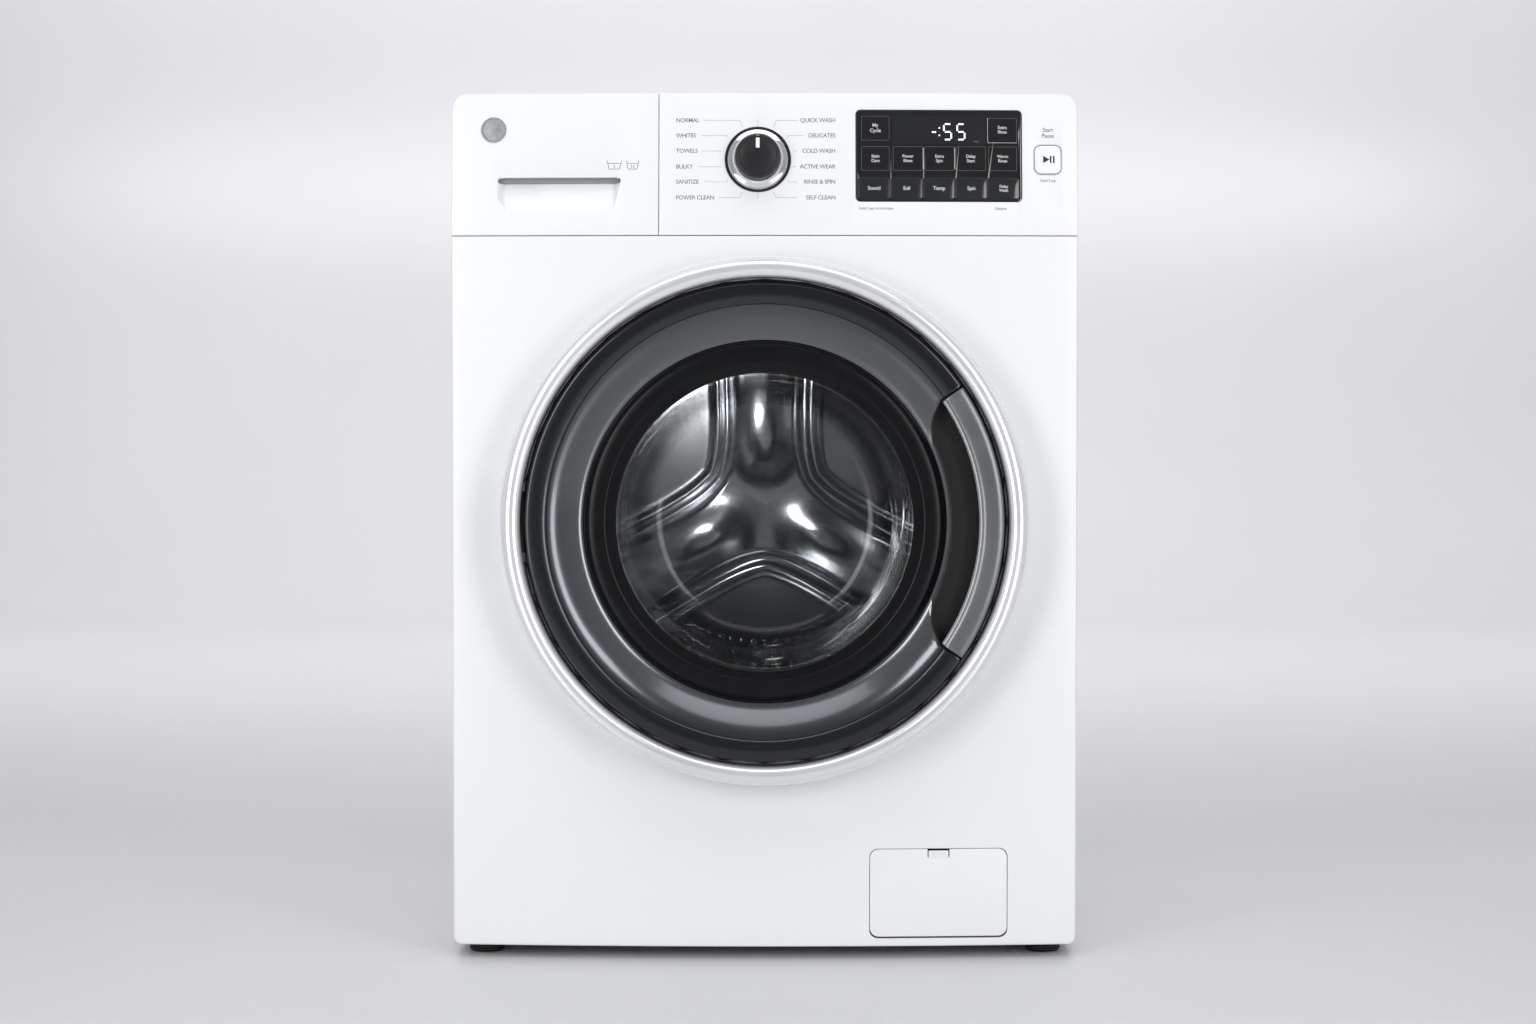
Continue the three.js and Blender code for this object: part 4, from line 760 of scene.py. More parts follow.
# White strokes along the lower and left edges of the Extra Rinse field and on the right edges of the Power
# Rinse and Extra Spin fields are painted highlights for light caught on the field edges; the words added
# below are white print.
bright = path([(213.5, 782.6), (241.1, 782.6)], 0.5) + path([(213.3, 783), (213.3, 806)], 0.5)
bright += path([(151.5, 757), (151.5, 777.5)], 0.5) + path([(181.7, 757), (181.7, 777.5)], 0.5)
FIELD_WORDS = (
    ("My\nCycle", 105.7, 796.4, 3.5),
    ("Extra\nRinse", 227.4, 795.0, 3.0),
    ("Stain\nCare", 105.7, 767.2, 3.0),
    ("Power\nRinse", 136.8, 767.2, 3.0),
    ("Extra\nSpin", 167.0, 767.2, 3.0),
    ("Delay\nStart", 197.0, 767.2, 3.0),
    ("Warm\nRinse", 227.6, 767.2, 3.0),
)
bright += [words(text, x, z, size, "CENTER", 0.95, 0.05) for text, x, z, size in FIELD_WORDS]
touch_print_and_highlights = join("touch_field_words_and_painted_highlights", bright)
lay_on_front(touch_print_and_highlights, -0.2)
fit(touch_print_and_highlights, white_print_and_highlight_ink, "cabinet")
dim_words = words("min", 202.5, 783.8, 2.6, "CENTER", 0.95, 0.03)
dim_words.name = dim_words.data.name = "window_words"
lay_on_front(dim_words, -0.02)
fit(dim_words, field_ink, "cabinet")

# Seven-segment figures: lit white bars behind the window.
FIVE = "afgcd"
FIGURE_Z = (785.5, 800.3)
lit_white = surface(
    "lit_led_segment_white", "ffffff", "fbfcff", 12, 0.4, 0.02, 0.5, 0.005, Emission_Strength=0.55,
)
lit_white.node_tree.nodes["Principled BSDF"].inputs["Emission Color"].default_value = linear("f6f9ff")


def figure(x0, x1, z0, z1, lit, stroke=1.5):
    """Bars for the lit segments of one seven-segment figure."""
    middle = (z0 + z1) / 2
    gap = stroke * 0.62
    runs = {
        "a": ((x0 + gap, z1), (x1 - gap, z1)),
        "g": ((x0 + gap, middle), (x1 - gap, middle)),
        "d": ((x0 + gap, z0), (x1 - gap, z0)),
        "f": ((x0, middle + gap), (x0, z1 - gap)),
        "b": ((x1, middle + gap), (x1, z1 - gap)),
        "e": ((x0, z0 + gap), (x0, middle - gap)),
        "c": ((x1, z0 + gap), (x1, middle - gap)),
    }
    return [bar(*runs[name], stroke) for name in lit]


figures = figure(171.3, 178.4, *FIGURE_Z, FIVE) + figure(184.2, 191.2, *FIGURE_Z, FIVE)
figures += [
    bar((159.8, 792.6), (163.9, 792.6), 1.4), bar((166.3, 796.6), (167.7, 796.6), 1.4),
    bar((166.3, 789.4), (167.7, 789.4), 1.4),
]
digits = join("clock_figures", figures)
lay_on_front(digits, -0.02)
fit(digits, lit_white, "cabinet")

# The five keys: glossy black caps, each with its printed word, that sink a millimetre.
key_black = surface(
    "gloss_abs_key_black", "212326", "1d1f22", 20, 0.16, 0.02, 6, 0.004, Coat_Weight=0.4,
    Coat_Roughness=0.05,
)
for i, text in enumerate(("Sound", "Soil", "Temp", "Spin", "Delay\nWash")):
    x = KEY_FIRST + i * KEY_PITCH
    key = plate(
        f"key_cap_{i + 1}", (x - KEY_W / 2, x + KEY_W / 2), (-0.05, 5.6),
        (KEY_Z - KEY_H / 2, KEY_Z + KEY_H / 2), (KEY_R,) * 4, 4,
    )
    soften(key, 0.5, 3)
    bow(key, 8)
    fit(key, key_black, f"key_{i + 1}", [f"option_key_{i + 1}"])
    word = words(text, x, KEY_Z, 3.6 if i < 4 else 2.7, "CENTER", 0.95, 0.06)
    word.name = word.data.name = f"key_word_{i + 1}"
    lay_on_front(word, -0.02 + 0.05)
    fit(word, white_print_and_highlight_ink, f"key_{i + 1}")

# ---- Start button
# White ABS cap with a flat face and rounded edges, and a black play and pause symbol.
button_place = seat(BUTTON_X, BUTTON_Z)
button = plate(
    "start_button_cap", (-BUTTON_W / 2, BUTTON_W / 2), (-1.5, 7.8), (-BUTTON_H / 2, BUTTON_H / 2),
    (BUTTON_R,) * 4, 6,
)
soften(button, 0.9, 4)
button.data.transform(button_place)
fit(button, white_abs, "start", ["start_button"])
black_ink = surface("screen_print_ink_black", "1c1d1f", "18191b", 12, 0.5, 0.02, 0.5, 0.005)
bpy.ops.object.select_all(action="DESELECT")
bpy.ops.mesh.primitive_cylinder_add(
    vertices=3, radius=4.1 * MM, depth=2 * INK * MM, rotation=(math.radians(90), 0, 0),
)
triangle = bpy.context.object
bpy.ops.object.transform_apply(location=True, rotation=True, scale=True)
triangle.data.transform(Matrix.Rotation(math.radians(90), 4, "Y"))
triangle.data.transform(Matrix.Translation((-2.6 * MM, 0, 0)))
play = join("start_symbol", [triangle, bar((2.6, -3.4), (2.6, 3.4), 1.6), bar((5.6, -3.4), (5.6, 3.4), 1.6)])
play.data.transform(Matrix.Translation((0, -1.5 * MM, 0)))
play.data.transform(button_place)
fit(play, black_ink, "start")

# ---- Door ring
# Rounded outer ring of satin chromed ABS, snapped over the door's edge, with its back
# cut away at the left for the hinge.
RING_OUT, RING_IN = 249.0, 231.5
RING_FRONT, RING_BACK = -312.5, -270.6
ring_mid = (RING_OUT + RING_IN) / 2
ring_half = (RING_OUT - RING_IN) / 2
crown = [
    (ring_mid + ring_half * math.cos(turn), RING_FRONT + 11.0 - 11.0 * math.sin(turn) ** 0.6)
    for turn in [math.pi * i / 18 for i in range(19)]
]
inside = [(ring_mid + (r - ring_mid) * 0.72, y + 2.4) for r, y in reversed(crown)]
door_ring = turned(
    "door_chrome_ring",
    [
        (RING_OUT, RING_BACK - 5.5), *crown, (RING_IN, RING_BACK), (RING_IN + 2.4, RING_BACK), *inside,
        (RING_OUT - 2.4, RING_BACK - 5.5),
    ],
    192,
)
combine(
    door_ring, "DIFFERENCE", block("hinge_bay", (-255, -228.4), (-299.5, -265), (DOOR_Z - 39, DOOR_Z + 39)),
)
door_chrome = surface(
    "satin_chrome_plated_abs", "f4f5f7", "eceef0", 160, 0.24, 0.03, 4.0, 0.003, Metallic=0.62,
)
fit(door_ring, door_chrome, "door", ["door_outer_ring"], smooth=40)

# ---- Smoked trim
# Dished ring of ABS, vacuum metallised and lacquered in smoke grey, darker towards its
# rim. It is cut away on the right for the finger recess, with an S-shaped end each side.
trim = turned(
    "door_smoked_trim",
    [
        (227.5, -278.6), (227.5, -300.4), (227.1, -302.2), (226.0, -303.5), (224.2, -304.0),
        (216.0, -304.0), (208.6, -303.2),
        (207.2, -302.4), (206.4, -301.2), (203.0, -300.6), (198.0, -298.8), (192.0, -295.6),
        (186.0, -291.6), (181.0, -288.0),
        (177.0, -285.6), (174.4, -284.7), (173.0, -284.6), (172.5, -284.1), (172.5, -281.8),
        (176.0, -282.0), (181.0, -284.4),
        (186.0, -288.0), (192.0, -292.0), (198.0, -295.4), (203.0, -297.4), (207.0, -298.8),
        (216.0, -300.6), (223.6, -300.8),
        (224.5, -299.8), (224.5, -278.6),
    ],
    192,
)


def door_outline(name, points, y):
    """Prism between two depths from (radius, degrees above the +x direction) points."""
    bpy.ops.object.select_all(action="DESELECT")
    bpy.ops.mesh.primitive_circle_add(vertices=len(points), fill_type="NGON")
    prism = bpy.context.object
    prism.name = prism.data.name = name
    for vertex, (radius, angle) in zip(prism.data.vertices, points):
        turn = math.radians(angle)
        vertex.co = Vector((radius * math.cos(turn), y[0], radius * math.sin(turn) + DOOR_Z)) * MM
    bpy.ops.object.mode_set(mode="EDIT")
    bpy.ops.mesh.select_all(action="SELECT")
    bpy.ops.mesh.extrude_region_move(TRANSFORM_OT_translate={"value": (0, (y[1] - y[0]) * MM, 0)})
    bpy.ops.mesh.select_all(action="SELECT")
    bpy.ops.mesh.normals_make_consistent(inside=False)
    close_edit()
    return prism


def recess_points(outer, inner, ends=34.6):
    """Round the finger recess: along its outer arc, down the S-shaped end, back along the inner arc."""
    shoulder = [
        (203.5, ends), (199.0, ends - 0.7), (194.0, ends - 1.5), (189.0, ends - 2.5), (184.5, ends - 3.9),
        (181.0, ends - 5.6), (178.6, ends - 7.4),
    ]
    top = [(r, a) for r, a in shoulder if r > inner + 1.2]
    half = [(outer, ends * i / 14) for i in range(15)] + top + [
        (inner, (ends - 9.2) * i / 14)
        for i in range(14, 0, -1)
    ]
    return half + [(inner, 0.0)] + [(r, -a) for r, a in reversed(half[1:])]


combine(trim, "DIFFERENCE", door_outline("recess_cut", recess_points(236.0, 176.6, 35.0), (-312, -262)))
soften(trim, 0.35, 2, 50)
smoked, tree, shader = new_material("metallised_abs_smoke_lacquer")
# The tone follows the distance from the axis: lighter in the dish, darker on the flat band at the rim.
place = add_node(tree, "ShaderNodeTexCoord").outputs["Object"]
axis = add_node(
    tree, "ShaderNodeMapping", {"Vector": place, "Location": (0, 0, -DOOR_Z * MM), "Scale": (1, 0, 1)},
)
reach = add_node(tree, "ShaderNodeVectorMath", {0: axis.outputs["Vector"]}, operation="LENGTH")
ramp = add_node(
    tree,
    "ShaderNodeMapRange",
    {"Value": reach.outputs["Value"], "From Min": 0.1725, "From Max": 0.2275},
)
tone = add_node(tree, "ShaderNodeValToRGB", {"Fac": ramp.outputs["Result"]})
tone.color_ramp.elements[0].color = linear("6c6e72")
tone.color_ramp.elements[1].color = linear("323437")
for at, shade in ((0.35, "606266"), (0.6, "4c4e52"), (0.64, "36383b")):
    tone.color_ramp.elements.new(at).color = linear(shade)
tree.links.new(tone.outputs["Color"], shader.inputs["Base Color"])
haze = add_node(tree, "ShaderNodeTexNoise", {"Vector": place, "Scale": 1 / (90 * MM), "Detail": 2.0})
gloss = add_node(tree, "ShaderNodeMapRange", {"Value": haze.outputs["Fac"], "To Min": 0.16, "To Max": 0.24})
tree.links.new(gloss.outputs["Result"], shader.inputs["Roughness"])
shader.inputs["Metallic"].default_value = 0.95
shader.inputs["Coat Weight"].default_value = 0.5
shader.inputs["Coat Roughness"].default_value = 0.06
fit(trim, smoked, "door", ["door_trim_ring"], smooth=40)

# ---- Door frame
# Black ABS back plate of the door with the hinge barrel and leaf moulded on.
def carry(node, name, material, body, width=0.5, angle=35, smooth=35):
    """Copy of a CAD node with its points merged and its edges rounded, standing for the node."""
    pick(frame["nodes"][node])
    bpy.ops.object.duplicate()
    piece = bpy.context.object
    piece.parent = None
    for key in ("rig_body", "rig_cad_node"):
        if key in piece:
            del piece[key]
    piece.name = piece.data.name = name
    bpy.ops.object.mode_set(mode="EDIT")
    bpy.ops.mesh.select_all(action="SELECT")
    bpy.ops.mesh.remove_doubles(threshold=2e-5)
    bpy.ops.mesh.customdata_custom_splitnormals_clear()
    bpy.ops.mesh.dissolve_limited(angle_limit=math.radians(1))
    close_edit()
    if width:
        soften(piece, width, 2, angle)
    fit(piece, material, body, [node], smooth)
    return piece


carry("door_inner_frame", "door_back_frame", black_abs, "door", 0.5, 45)
# Black bezel printed round the glass, with fine turned grooves at both edges.
bezel_black = surface(
    "moulded_abs_bezel_black", "0b0d10", "08090c", 26, 0.3, 0.02, 3, 0.004, Specular_IOR_Level=0.2,
)
grooves = [(172.1, -283.9), (172.1, -285.2)]
for r in (170.6, 169.2, 167.6):
    grooves += [(r, -285.8), (r - 0.45, -285.2)]
grooves += [(165.0, -286.0), (160.0, -286.1), (153.5, -285.9)]
for r in (151.6, 149.8, 148.0, 146.2, 144.4):
    grooves += [(r, -285.8), (r - 0.55, -285.2)]
grooves += [(142.4, -285.9), (141.4, -285.1), (141.4, -284.7), (160, -284.7)]
bezel = turned("door_glass_bezel", grooves, 192)
fit(bezel, bezel_black, "door", smooth=50)

# ---- Handle
# Satin grey grip, curved with the door, with a bright bead along its inner edge; its
# ends follow the S-shaped ends of the recess.
GRIP_OUT, GRIP_IN, GRIP_END = 226.7, 203.2, 34.4
satin = surface(
    "satin_lacquered_abs_grey", "76787b", "6d6f72", 60, 0.32, 0.04, 1.2, 0.006, Metallic=0.55,
    Coat_Weight=0.3, Coat_Roughness=0.15,
)
grip = turned(
    "door_grip",
    [
        (GRIP_OUT, -297.5), (GRIP_OUT, -304.6), (GRIP_OUT - 0.6, -306.3), (GRIP_OUT - 2.0, -307.2),
        (220.0, -307.5), (210.0, -307.0),
        (205.4, -305.6), (203.8, -303.6), (GRIP_IN, -301.0), (GRIP_IN, -297.6), (204.6, -295.6),
        (212, -295.5), (224.6, -295.5),
    ],
    64,
    2 * GRIP_END,
    -GRIP_END,
)
soften(grip, 0.6, 3, 50)
combine(
    grip, "UNION",
    plate("grip_stem", (209.8, 220.9), (-296.6, -279.2), (DOOR_Z - 14, DOOR_Z + 14), (3, 3, 3, 3), 4),
)
fit(grip, satin, "handle", ["door_handle"], smooth=40)
bead = turned(
    "grip_inner_bead",
    [
        (203.1, -299.0), (203.0, -302.0), (203.5, -304.0), (204.6, -305.6), (205.3, -306.1),
        (205.6, -305.8), (204.4, -303.6), (203.9, -301.5), (203.9, -299.0),
    ],
    64,
    2 * GRIP_END - 0.6,
    0.3 - GRIP_END,
)
fit(bead, door_chrome, "handle", smooth=50)

# Finger recess: a black moulded pocket behind the grip, open to the front.
pocket = door_outline("finger_pocket", recess_points(224.3, 176.8, 34.9), (-294.6, -277.0))
choose(pocket, "FACE", lambda at, face: face.normal.y < -0.9)
bpy.ops.mesh.delete(type="FACE")
close_edit()
modify(pocket, "SOLIDIFY", thickness=1.2 * MM, offset=-1, use_even_offset=True)
pocket_black = surface("moulded_abs_deep_black", "060607", "050506", 18, 0.5, 0.04, 0.8, 0.02)
fit(pocket, pocket_black, "door", smooth=50)

# ---- Door glass
# Clear borosilicate bowl, pressed, with a flat flange that the bezel covers.
BOWL = [
    (172.0, -284.5), (141.6, -284.5), (139.6, -283.8), (138.4, -282.4), (137.6, -280.0), (131.0, -244.0),
    (124.6, -206.0), (121.4, -192.0),
    (117.6, -183.6), (111.5, -177.8), (103.0, -174.2), (92.0, -172.8), (70.0, -172.5), (35.0, -172.5),
    (0.001, -172.5),
    (0.001, -168.0), (35.0, -168.0), (70.0, -168.0), (93.0, -168.3), (105.0, -169.9), (114.4, -174.0),
    (121.4, -181.2), (125.8, -191.0),
    (129.0, -205.4), (135.4, -243.2), (141.6, -276.0), (142.4, -278.8), (144.0, -280.0), (172.0, -280.0),
]
bowl = turned("door_glass_bowl", BOWL, 144)
glass, tree, shader = new_material("borosilicate_glass_pressed")
# Pressed glass: clear, a little darker where it is seen edge on, with a slow ripple of
# a few centimetres in its polish.
place = add_node(tree, "ShaderNodeTexCoord").outputs["Object"]
ripple = add_node(tree, "ShaderNodeTexNoise", {"Vector": place, "Scale": 1 / (45 * MM), "Detail": 1.0})
polish = add_node(
    tree, "ShaderNodeMapRange", {"Value": ripple.outputs["Fac"], "To Min": 0.01, "To Max": 0.03},
)
tree.links.new(polish.outputs["Result"], shader.inputs["Roughness"])
edge = add_node(tree, "ShaderNodeLayerWeight", {"Blend": 0.35})
cover_share = add_node(
    tree, "ShaderNodeMapRange", {"Value": edge.outputs["Facing"], "To Min": 0.2, "To Max": 0.85},
)
tree.links.new(cover_share.outputs["Result"], shader.inputs["Alpha"])
shader.inputs["Base Color"].default_value = linear("0c0e0f")
shader.inputs["IOR"].default_value = 1.5
shader.inputs["Specular IOR Level"].default_value = 0.8
fit(bowl, glass, "door", ["door_glass"], smooth=40)

# ---- Door seal
# Bellows of grey EPDM rubber: a lip over the port's edge, one loose fold, and a collar
# clamped to the tub. It spans the cabinet and the floating tub and is fixed to neither.
seal = turned(
    "door_seal_bellows",
    [
        (164.4, -267.6), (164.4, -255.6), (162.4, -252.6), (163.4, -251.4), (177.6, -247.4),
        (179.4, -245.4), (179.4, -237.0),
        (177.8, -234.8), (169.4, -229.0), (167.9, -227.0), (167.9, -209.2), (162.2, -209.2),
        (162.2, -228.2), (163.6, -230.4),
        (174.2, -237.0), (175.4, -238.6), (175.4, -242.6), (174.0, -244.2), (158.2, -248.2),
        (154.6, -250.4), (151.8, -254.0),
        (151.8, -264.0), (152.8, -266.8), (155.0, -268.0), (163.0, -268.0),
    ],
    128,
)
seal_rubber = surface("moulded_epdm_grey", "4b4e51", "434649", 14, 0.62, 0.06, 0.6, 0.03)
seal.data.materials.append(seal_rubber)
pick(seal)
bpy.ops.object.shade_smooth_by_angle(angle=math.radians(50))
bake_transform(seal)
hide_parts("door_seal")

# ---- Drum
# Stainless shell and back wall: rows of dimpled drain holes round the shell, and a
# pressed three-armed star on the back wall.
DRUM_R, DRUM_FRONT, DRUM_BACK = 240.0, -193.5, 166.5
MOUTH = 160.0
drum = turned(
    "drum_shell",
    [
        (DRUM_R, DRUM_FRONT + 9), (DRUM_R, DRUM_BACK), (0.001, DRUM_BACK), (0.001, DRUM_BACK - 1.2),
        (DRUM_R - 1.2, DRUM_BACK - 1.2),
        (DRUM_R - 1.2, DRUM_FRONT + 9.6), (DRUM_R - 3.6, DRUM_FRONT + 4), (DRUM_R - 10, DRUM_FRONT + 1.2),
        (MOUTH + 8, DRUM_FRONT + 1.2),
        (MOUTH + 4, DRUM_FRONT + 2.4), (MOUTH + 1.6, DRUM_FRONT + 6), (MOUTH + 1.2, DRUM_FRONT + 8.4),
        (MOUTH, DRUM_FRONT + 8.4),
        (MOUTH + 0.4, DRUM_FRONT + 5), (MOUTH + 3, DRUM_FRONT + 1.2), (MOUTH + 8, DRUM_FRONT),
        (DRUM_R - 9, DRUM_FRONT), (DRUM_R - 2.6, DRUM_FRONT + 3),
    ],
    180,
)
stainless, tree, shader = new_material("brushed_stainless_steel")
place = add_node(tree, "ShaderNodeTexCoord").outputs["Object"]
# Rolling lines run round the drum: fine along the axis, long round it.
lines = add_node(tree, "ShaderNodeMapping", {"Vector": place, "Scale": (12, 420, 12)})
brushing = add_node(
    tree, "ShaderNodeTexNoise", {"Vector": lines.outputs["Vector"], "Scale": 1.0, "Detail": 4.0},
)
tone = add_node(tree, "ShaderNodeValToRGB", {"Fac": brushing.outputs["Fac"]})
tone.color_ramp.elements[0].color = linear("aaadb0")
tone.color_ramp.elements[1].color = linear("c6c9cc")
tree.links.new(tone.outputs["Color"], shader.inputs["Base Color"])
gloss = add_node(
    tree, "ShaderNodeMapRange", {"Value": brushing.outputs["Fac"], "To Min": 0.17, "To Max": 0.28},
)
tree.links.new(gloss.outputs["Result"], shader.inputs["Roughness"])
relief = add_node(
    tree, "ShaderNodeBump", {"Height": brushing.outputs["Fac"], "Distance": 0.03 * MM, "Strength": 0.4},
)
tree.links.new(relief.outputs["Normal"], shader.inputs["Normal"])
shader.inputs["Metallic"].default_value = 1.0
fit(drum, stainless, "drum_group", ["drum"], smooth=40)

# Pressed back wall: a raised star of three arms, each with a fuller swelling near the
# hub, and a low ridge that follows the arms through the pockets between them.
STAR_OUT = 228.0
STAR_RISE = 17.0
star_rings = [(r, DRUM_BACK - 2.0) for r in [0.001] + [1.7 * k for k in range(1, 134)]]
star = turned("drum_back_star", star_rings + [(STAR_OUT, DRUM_BACK - 1.0), (0.001, DRUM_BACK - 1.0)], 300)


def ease(value):
    """Smooth step from 0 to 1."""
    value = min(1.0, max(0.0, value))
    return value * value * (3 - 2 * value)


def star_height(x, z):
    """Height of the pressing in front of the back wall at x, z from the axis."""
    reach = math.hypot(x, z)
    turn = math.degrees(math.atan2(z, x))
    nearest = min(((turn - arm + 180) % 360 - 180 for arm in (90, 210, 330)), key=abs)
    along = reach * math.cos(math.radians(nearest))
    across = reach * abs(math.sin(math.radians(nearest)))
    half = 21.0 + 0.06 * along + 40.0 * math.exp(-max(0.0, along) / 30.0)
    arm = ease((half + 11.0 - across) / 11.0) if along > 0 else 1.0
    height = STAR_RISE * max(arm, ease((52.0 - reach) / 12.0))
    bulb = ((along - 80.0) / (46.0 if along < 80.0 else 62.0)) ** 2 + (across / 29.0) ** 2
    height += 16.0 * math.exp(-(bulb ** 1.3))
    height += 6.0 * math.exp(-(((across - half - 22.0) / 5.5) ** 2)) * ease((reach - 40.0) / 20.0)
    return height * ease((STAR_OUT - 6.0 - reach) / 22.0)


for vertex in star.data.vertices:
    if vertex.co.y < (DRUM_BACK - 1.5) * MM:
        vertex.co.y -= star_height(vertex.co.x / MM, vertex.co.z / MM - DOOR_Z) * MM
fit(star, stainless, "drum_group", smooth=60)

# Drain holes: each a dished dimple, in rings along the shell.
HOLE_RINGS = 15
HOLES_ROUND = 72
bpy.ops.object.select_all(action="DESELECT")
bpy.ops.mesh.primitive_circle_add(vertices=8, radius=3.6 * MM, fill_type="NGON")
dimple = bpy.context.object
dimple.name = dimple.data.name = "drum_dimples"
bpy.ops.object.mode_set(mode="EDIT")
bpy.ops.mesh.select_all(action="SELECT")
bpy.ops.mesh.inset(thickness=1.0 * MM, depth=1.1 * MM)
bpy.ops.mesh.inset(thickness=1.1 * MM, depth=-0.7 * MM)
close_edit()
flat = [(v.co.copy()) for v in dimple.data.vertices]
faces = [tuple(p.vertices) for p in dimple.data.polygons]
points, shapes = [], []
for ring in range(HOLE_RINGS):
    y = DRUM_FRONT + 22 + ring * (DRUM_BACK - DRUM_FRONT - 44) / (HOLE_RINGS - 1)
    for i in range(HOLES_ROUND):
        angle = 360 / HOLES_ROUND * (i + 0.5 * (ring % 2))
        if min(abs((angle - 90 - 120 * k + 180) % 360 - 180) for k in range(3)) < 8.5:
            continue
        turn = math.radians(angle)
        inward = Vector((-math.cos(turn), 0, -math.sin(turn)))
        across = Vector((-math.sin(turn), 0, math.cos(turn)))
        centre = Vector((0, y, DOOR_Z)) * MM - inward * (DRUM_R - 1.3) * MM
        base = len(points)
        points += [centre + across * v.x + Vector((0, 1, 0)) * v.y + inward * v.z for v in flat]
        shapes += [tuple(base + k for k in face) for face in faces]
# The pockets of the back wall are pierced too.
for middle in (30, 150, 270):
    for row, radius in enumerate((150, 163, 176, 189)):
        count = 11 + row
        for i in range(count):
            turn = math.radians(middle + (i - (count - 1) / 2) * 4.6)
            lift = star_height(radius * math.cos(turn), radius * math.sin(turn))
            centre = Vector(
                (radius * math.cos(turn), DRUM_BACK - 2.2 - lift, DOOR_Z + radius * math.sin(turn)),
            ) * MM
            base = len(points)
            points += [centre + Vector((v.x, -v.z, v.y)) for v in flat]
            shapes += [tuple(base + k for k in face) for face in faces]
dimple.data.clear_geometry()
dimple.data.from_pydata([tuple(p) for p in points], [], shapes)
dimple.data.update()
pick(dimple)
bpy.ops.object.mode_set(mode="EDIT")
bpy.ops.mesh.select_all(action="SELECT")
bpy.ops.mesh.normals_make_consistent(inside=False)
close_edit()
fit(dimple, stainless, "drum_group", smooth=20)

# ---- Lifters
# Three folded stainless paddles, broad at the shell, with a round nose; they are fullest
# near the middle of their length and lower at both ends.
LIFTER_Y = (-165.5, 138.5)
for i in range(3):
    sections = []
    rows = 12
    for k in range(rows + 1):
        along = k / rows
        y = LIFTER_Y[0] + (LIFTER_Y[1] - LIFTER_Y[0]) * along
        swell = 0.78 + 0.22 * math.sin(math.pi * min(1, along * 1.15)) ** 2
        height = 57.0 * min(1.0, 0.55 + 1.6 * along) * (1.0 if along < 0.92 else 0.8)
        section = []
        for s in range(13):
            t = s / 12
            lean = math.cos(math.pi * t)
            rise = math.sin(math.pi * t) ** 0.7 if 0 < t < 1 else 0.0
            half = 27.5 * (1 - 0.5 * rise) if abs(lean) > 0.02 else 27.5
            section.append((half * lean * swell, y, 236.0 - height * rise))
        sections.append(section)
    bpy.ops.object.select_all(action="DESELECT")
    bpy.ops.mesh.primitive_grid_add(x_subdivisions=12, y_subdivisions=rows, size=1)
    paddle = bpy.context.object
    paddle.name = paddle.data.name = f"drum_lifter_{i + 1}"
    order = sorted(
        range(len(paddle.data.vertices)),
        key=lambda v: (round(paddle.data.vertices[v].co.y, 4), round(paddle.data.vertices[v].co.x, 4)),
    )
    for place_in, v in enumerate(order):
        x, y, z = sections[place_in // 13][place_in % 13]
        paddle.data.vertices[v].co = Vector((x, y, z)) * MM
    bpy.ops.object.mode_set(mode="EDIT")
    bpy.ops.mesh.select_all(action="SELECT")
    bpy.ops.mesh.fill_holes(sides=0)
    bpy.ops.mesh.select_all(action="SELECT")
    bpy.ops.mesh.normals_make_consistent(inside=False)
    close_edit()
    modify(paddle, "SUBSURF", levels=1, render_levels=1)
    spin = Matrix.Translation((0, 0, DOOR_Z * MM)) @ Matrix.Rotation(math.radians(120 * i), 4, "Y")
    paddle.data.transform(spin)
    fit(paddle, stainless, "drum_group", [f"lifter_{i + 1}"], smooth=60)

# ---- Hinge and catch
# Zinc-plated steel: a folded bracket with its pin behind the land, the door's sprung
# hook, and the black lock box that takes it.
zinc = surface("zinc_plated_steel", "a9acaf", "97999c", 22, 0.34, 0.06, 0.8, 0.01, Metallic=1.0)
carry("hinge_bracket", "hinge_bracket_folded", zinc, "cabinet", 0.8)
carry("latch_hook", "door_catch_hook", zinc, "latch", 0.8)
carry("door_lock", "door_lock_box", black_abs, "cabinet", 0.8)

# ---- Filter flap
# White ABS flap, hinged at its foot, bowed like the panel round it, with a notch and a
# spring tab at its top edge.
flap = plate("filter_flap_moulding", (FLAP[0], FLAP[1]), (0, 2.5), (FLAP[2], FLAP[3]), (FLAP_CORNER,) * 4)
FLAP_MID = (FLAP[0] + FLAP[1]) / 2
combine(
    flap, "DIFFERENCE",
    plate("notch", (FLAP_MID - 10.5, FLAP_MID + 10.5), (-5, 9), (FLAP[3] - 9, FLAP[3] + 5), (2, 2, 0, 0), 4),
)
soften(flap, 0.5, 3)
bow(flap, 10)
fit(flap, white_abs, "flap", ["filter_flap"])
tab = plate(
    "filter_flap_tab", (FLAP_MID - 9.6, FLAP_MID + 9.6), (0.9, 2.9), (FLAP[3] - 9.8, FLAP[3] - 1.6),
    (1.4, 1.4, 1, 1), 4,
)
combine(
    tab, "UNION",
    plate("tab_ridge", (FLAP_MID - 6, FLAP_MID + 6), (0.2, 2), (FLAP[3] - 4.2, FLAP[3] - 2.6), (0.6,) * 4, 3),
)
soften(tab, 0.25, 2)
bow(tab, 10)
fit(tab, white_abs, "flap")

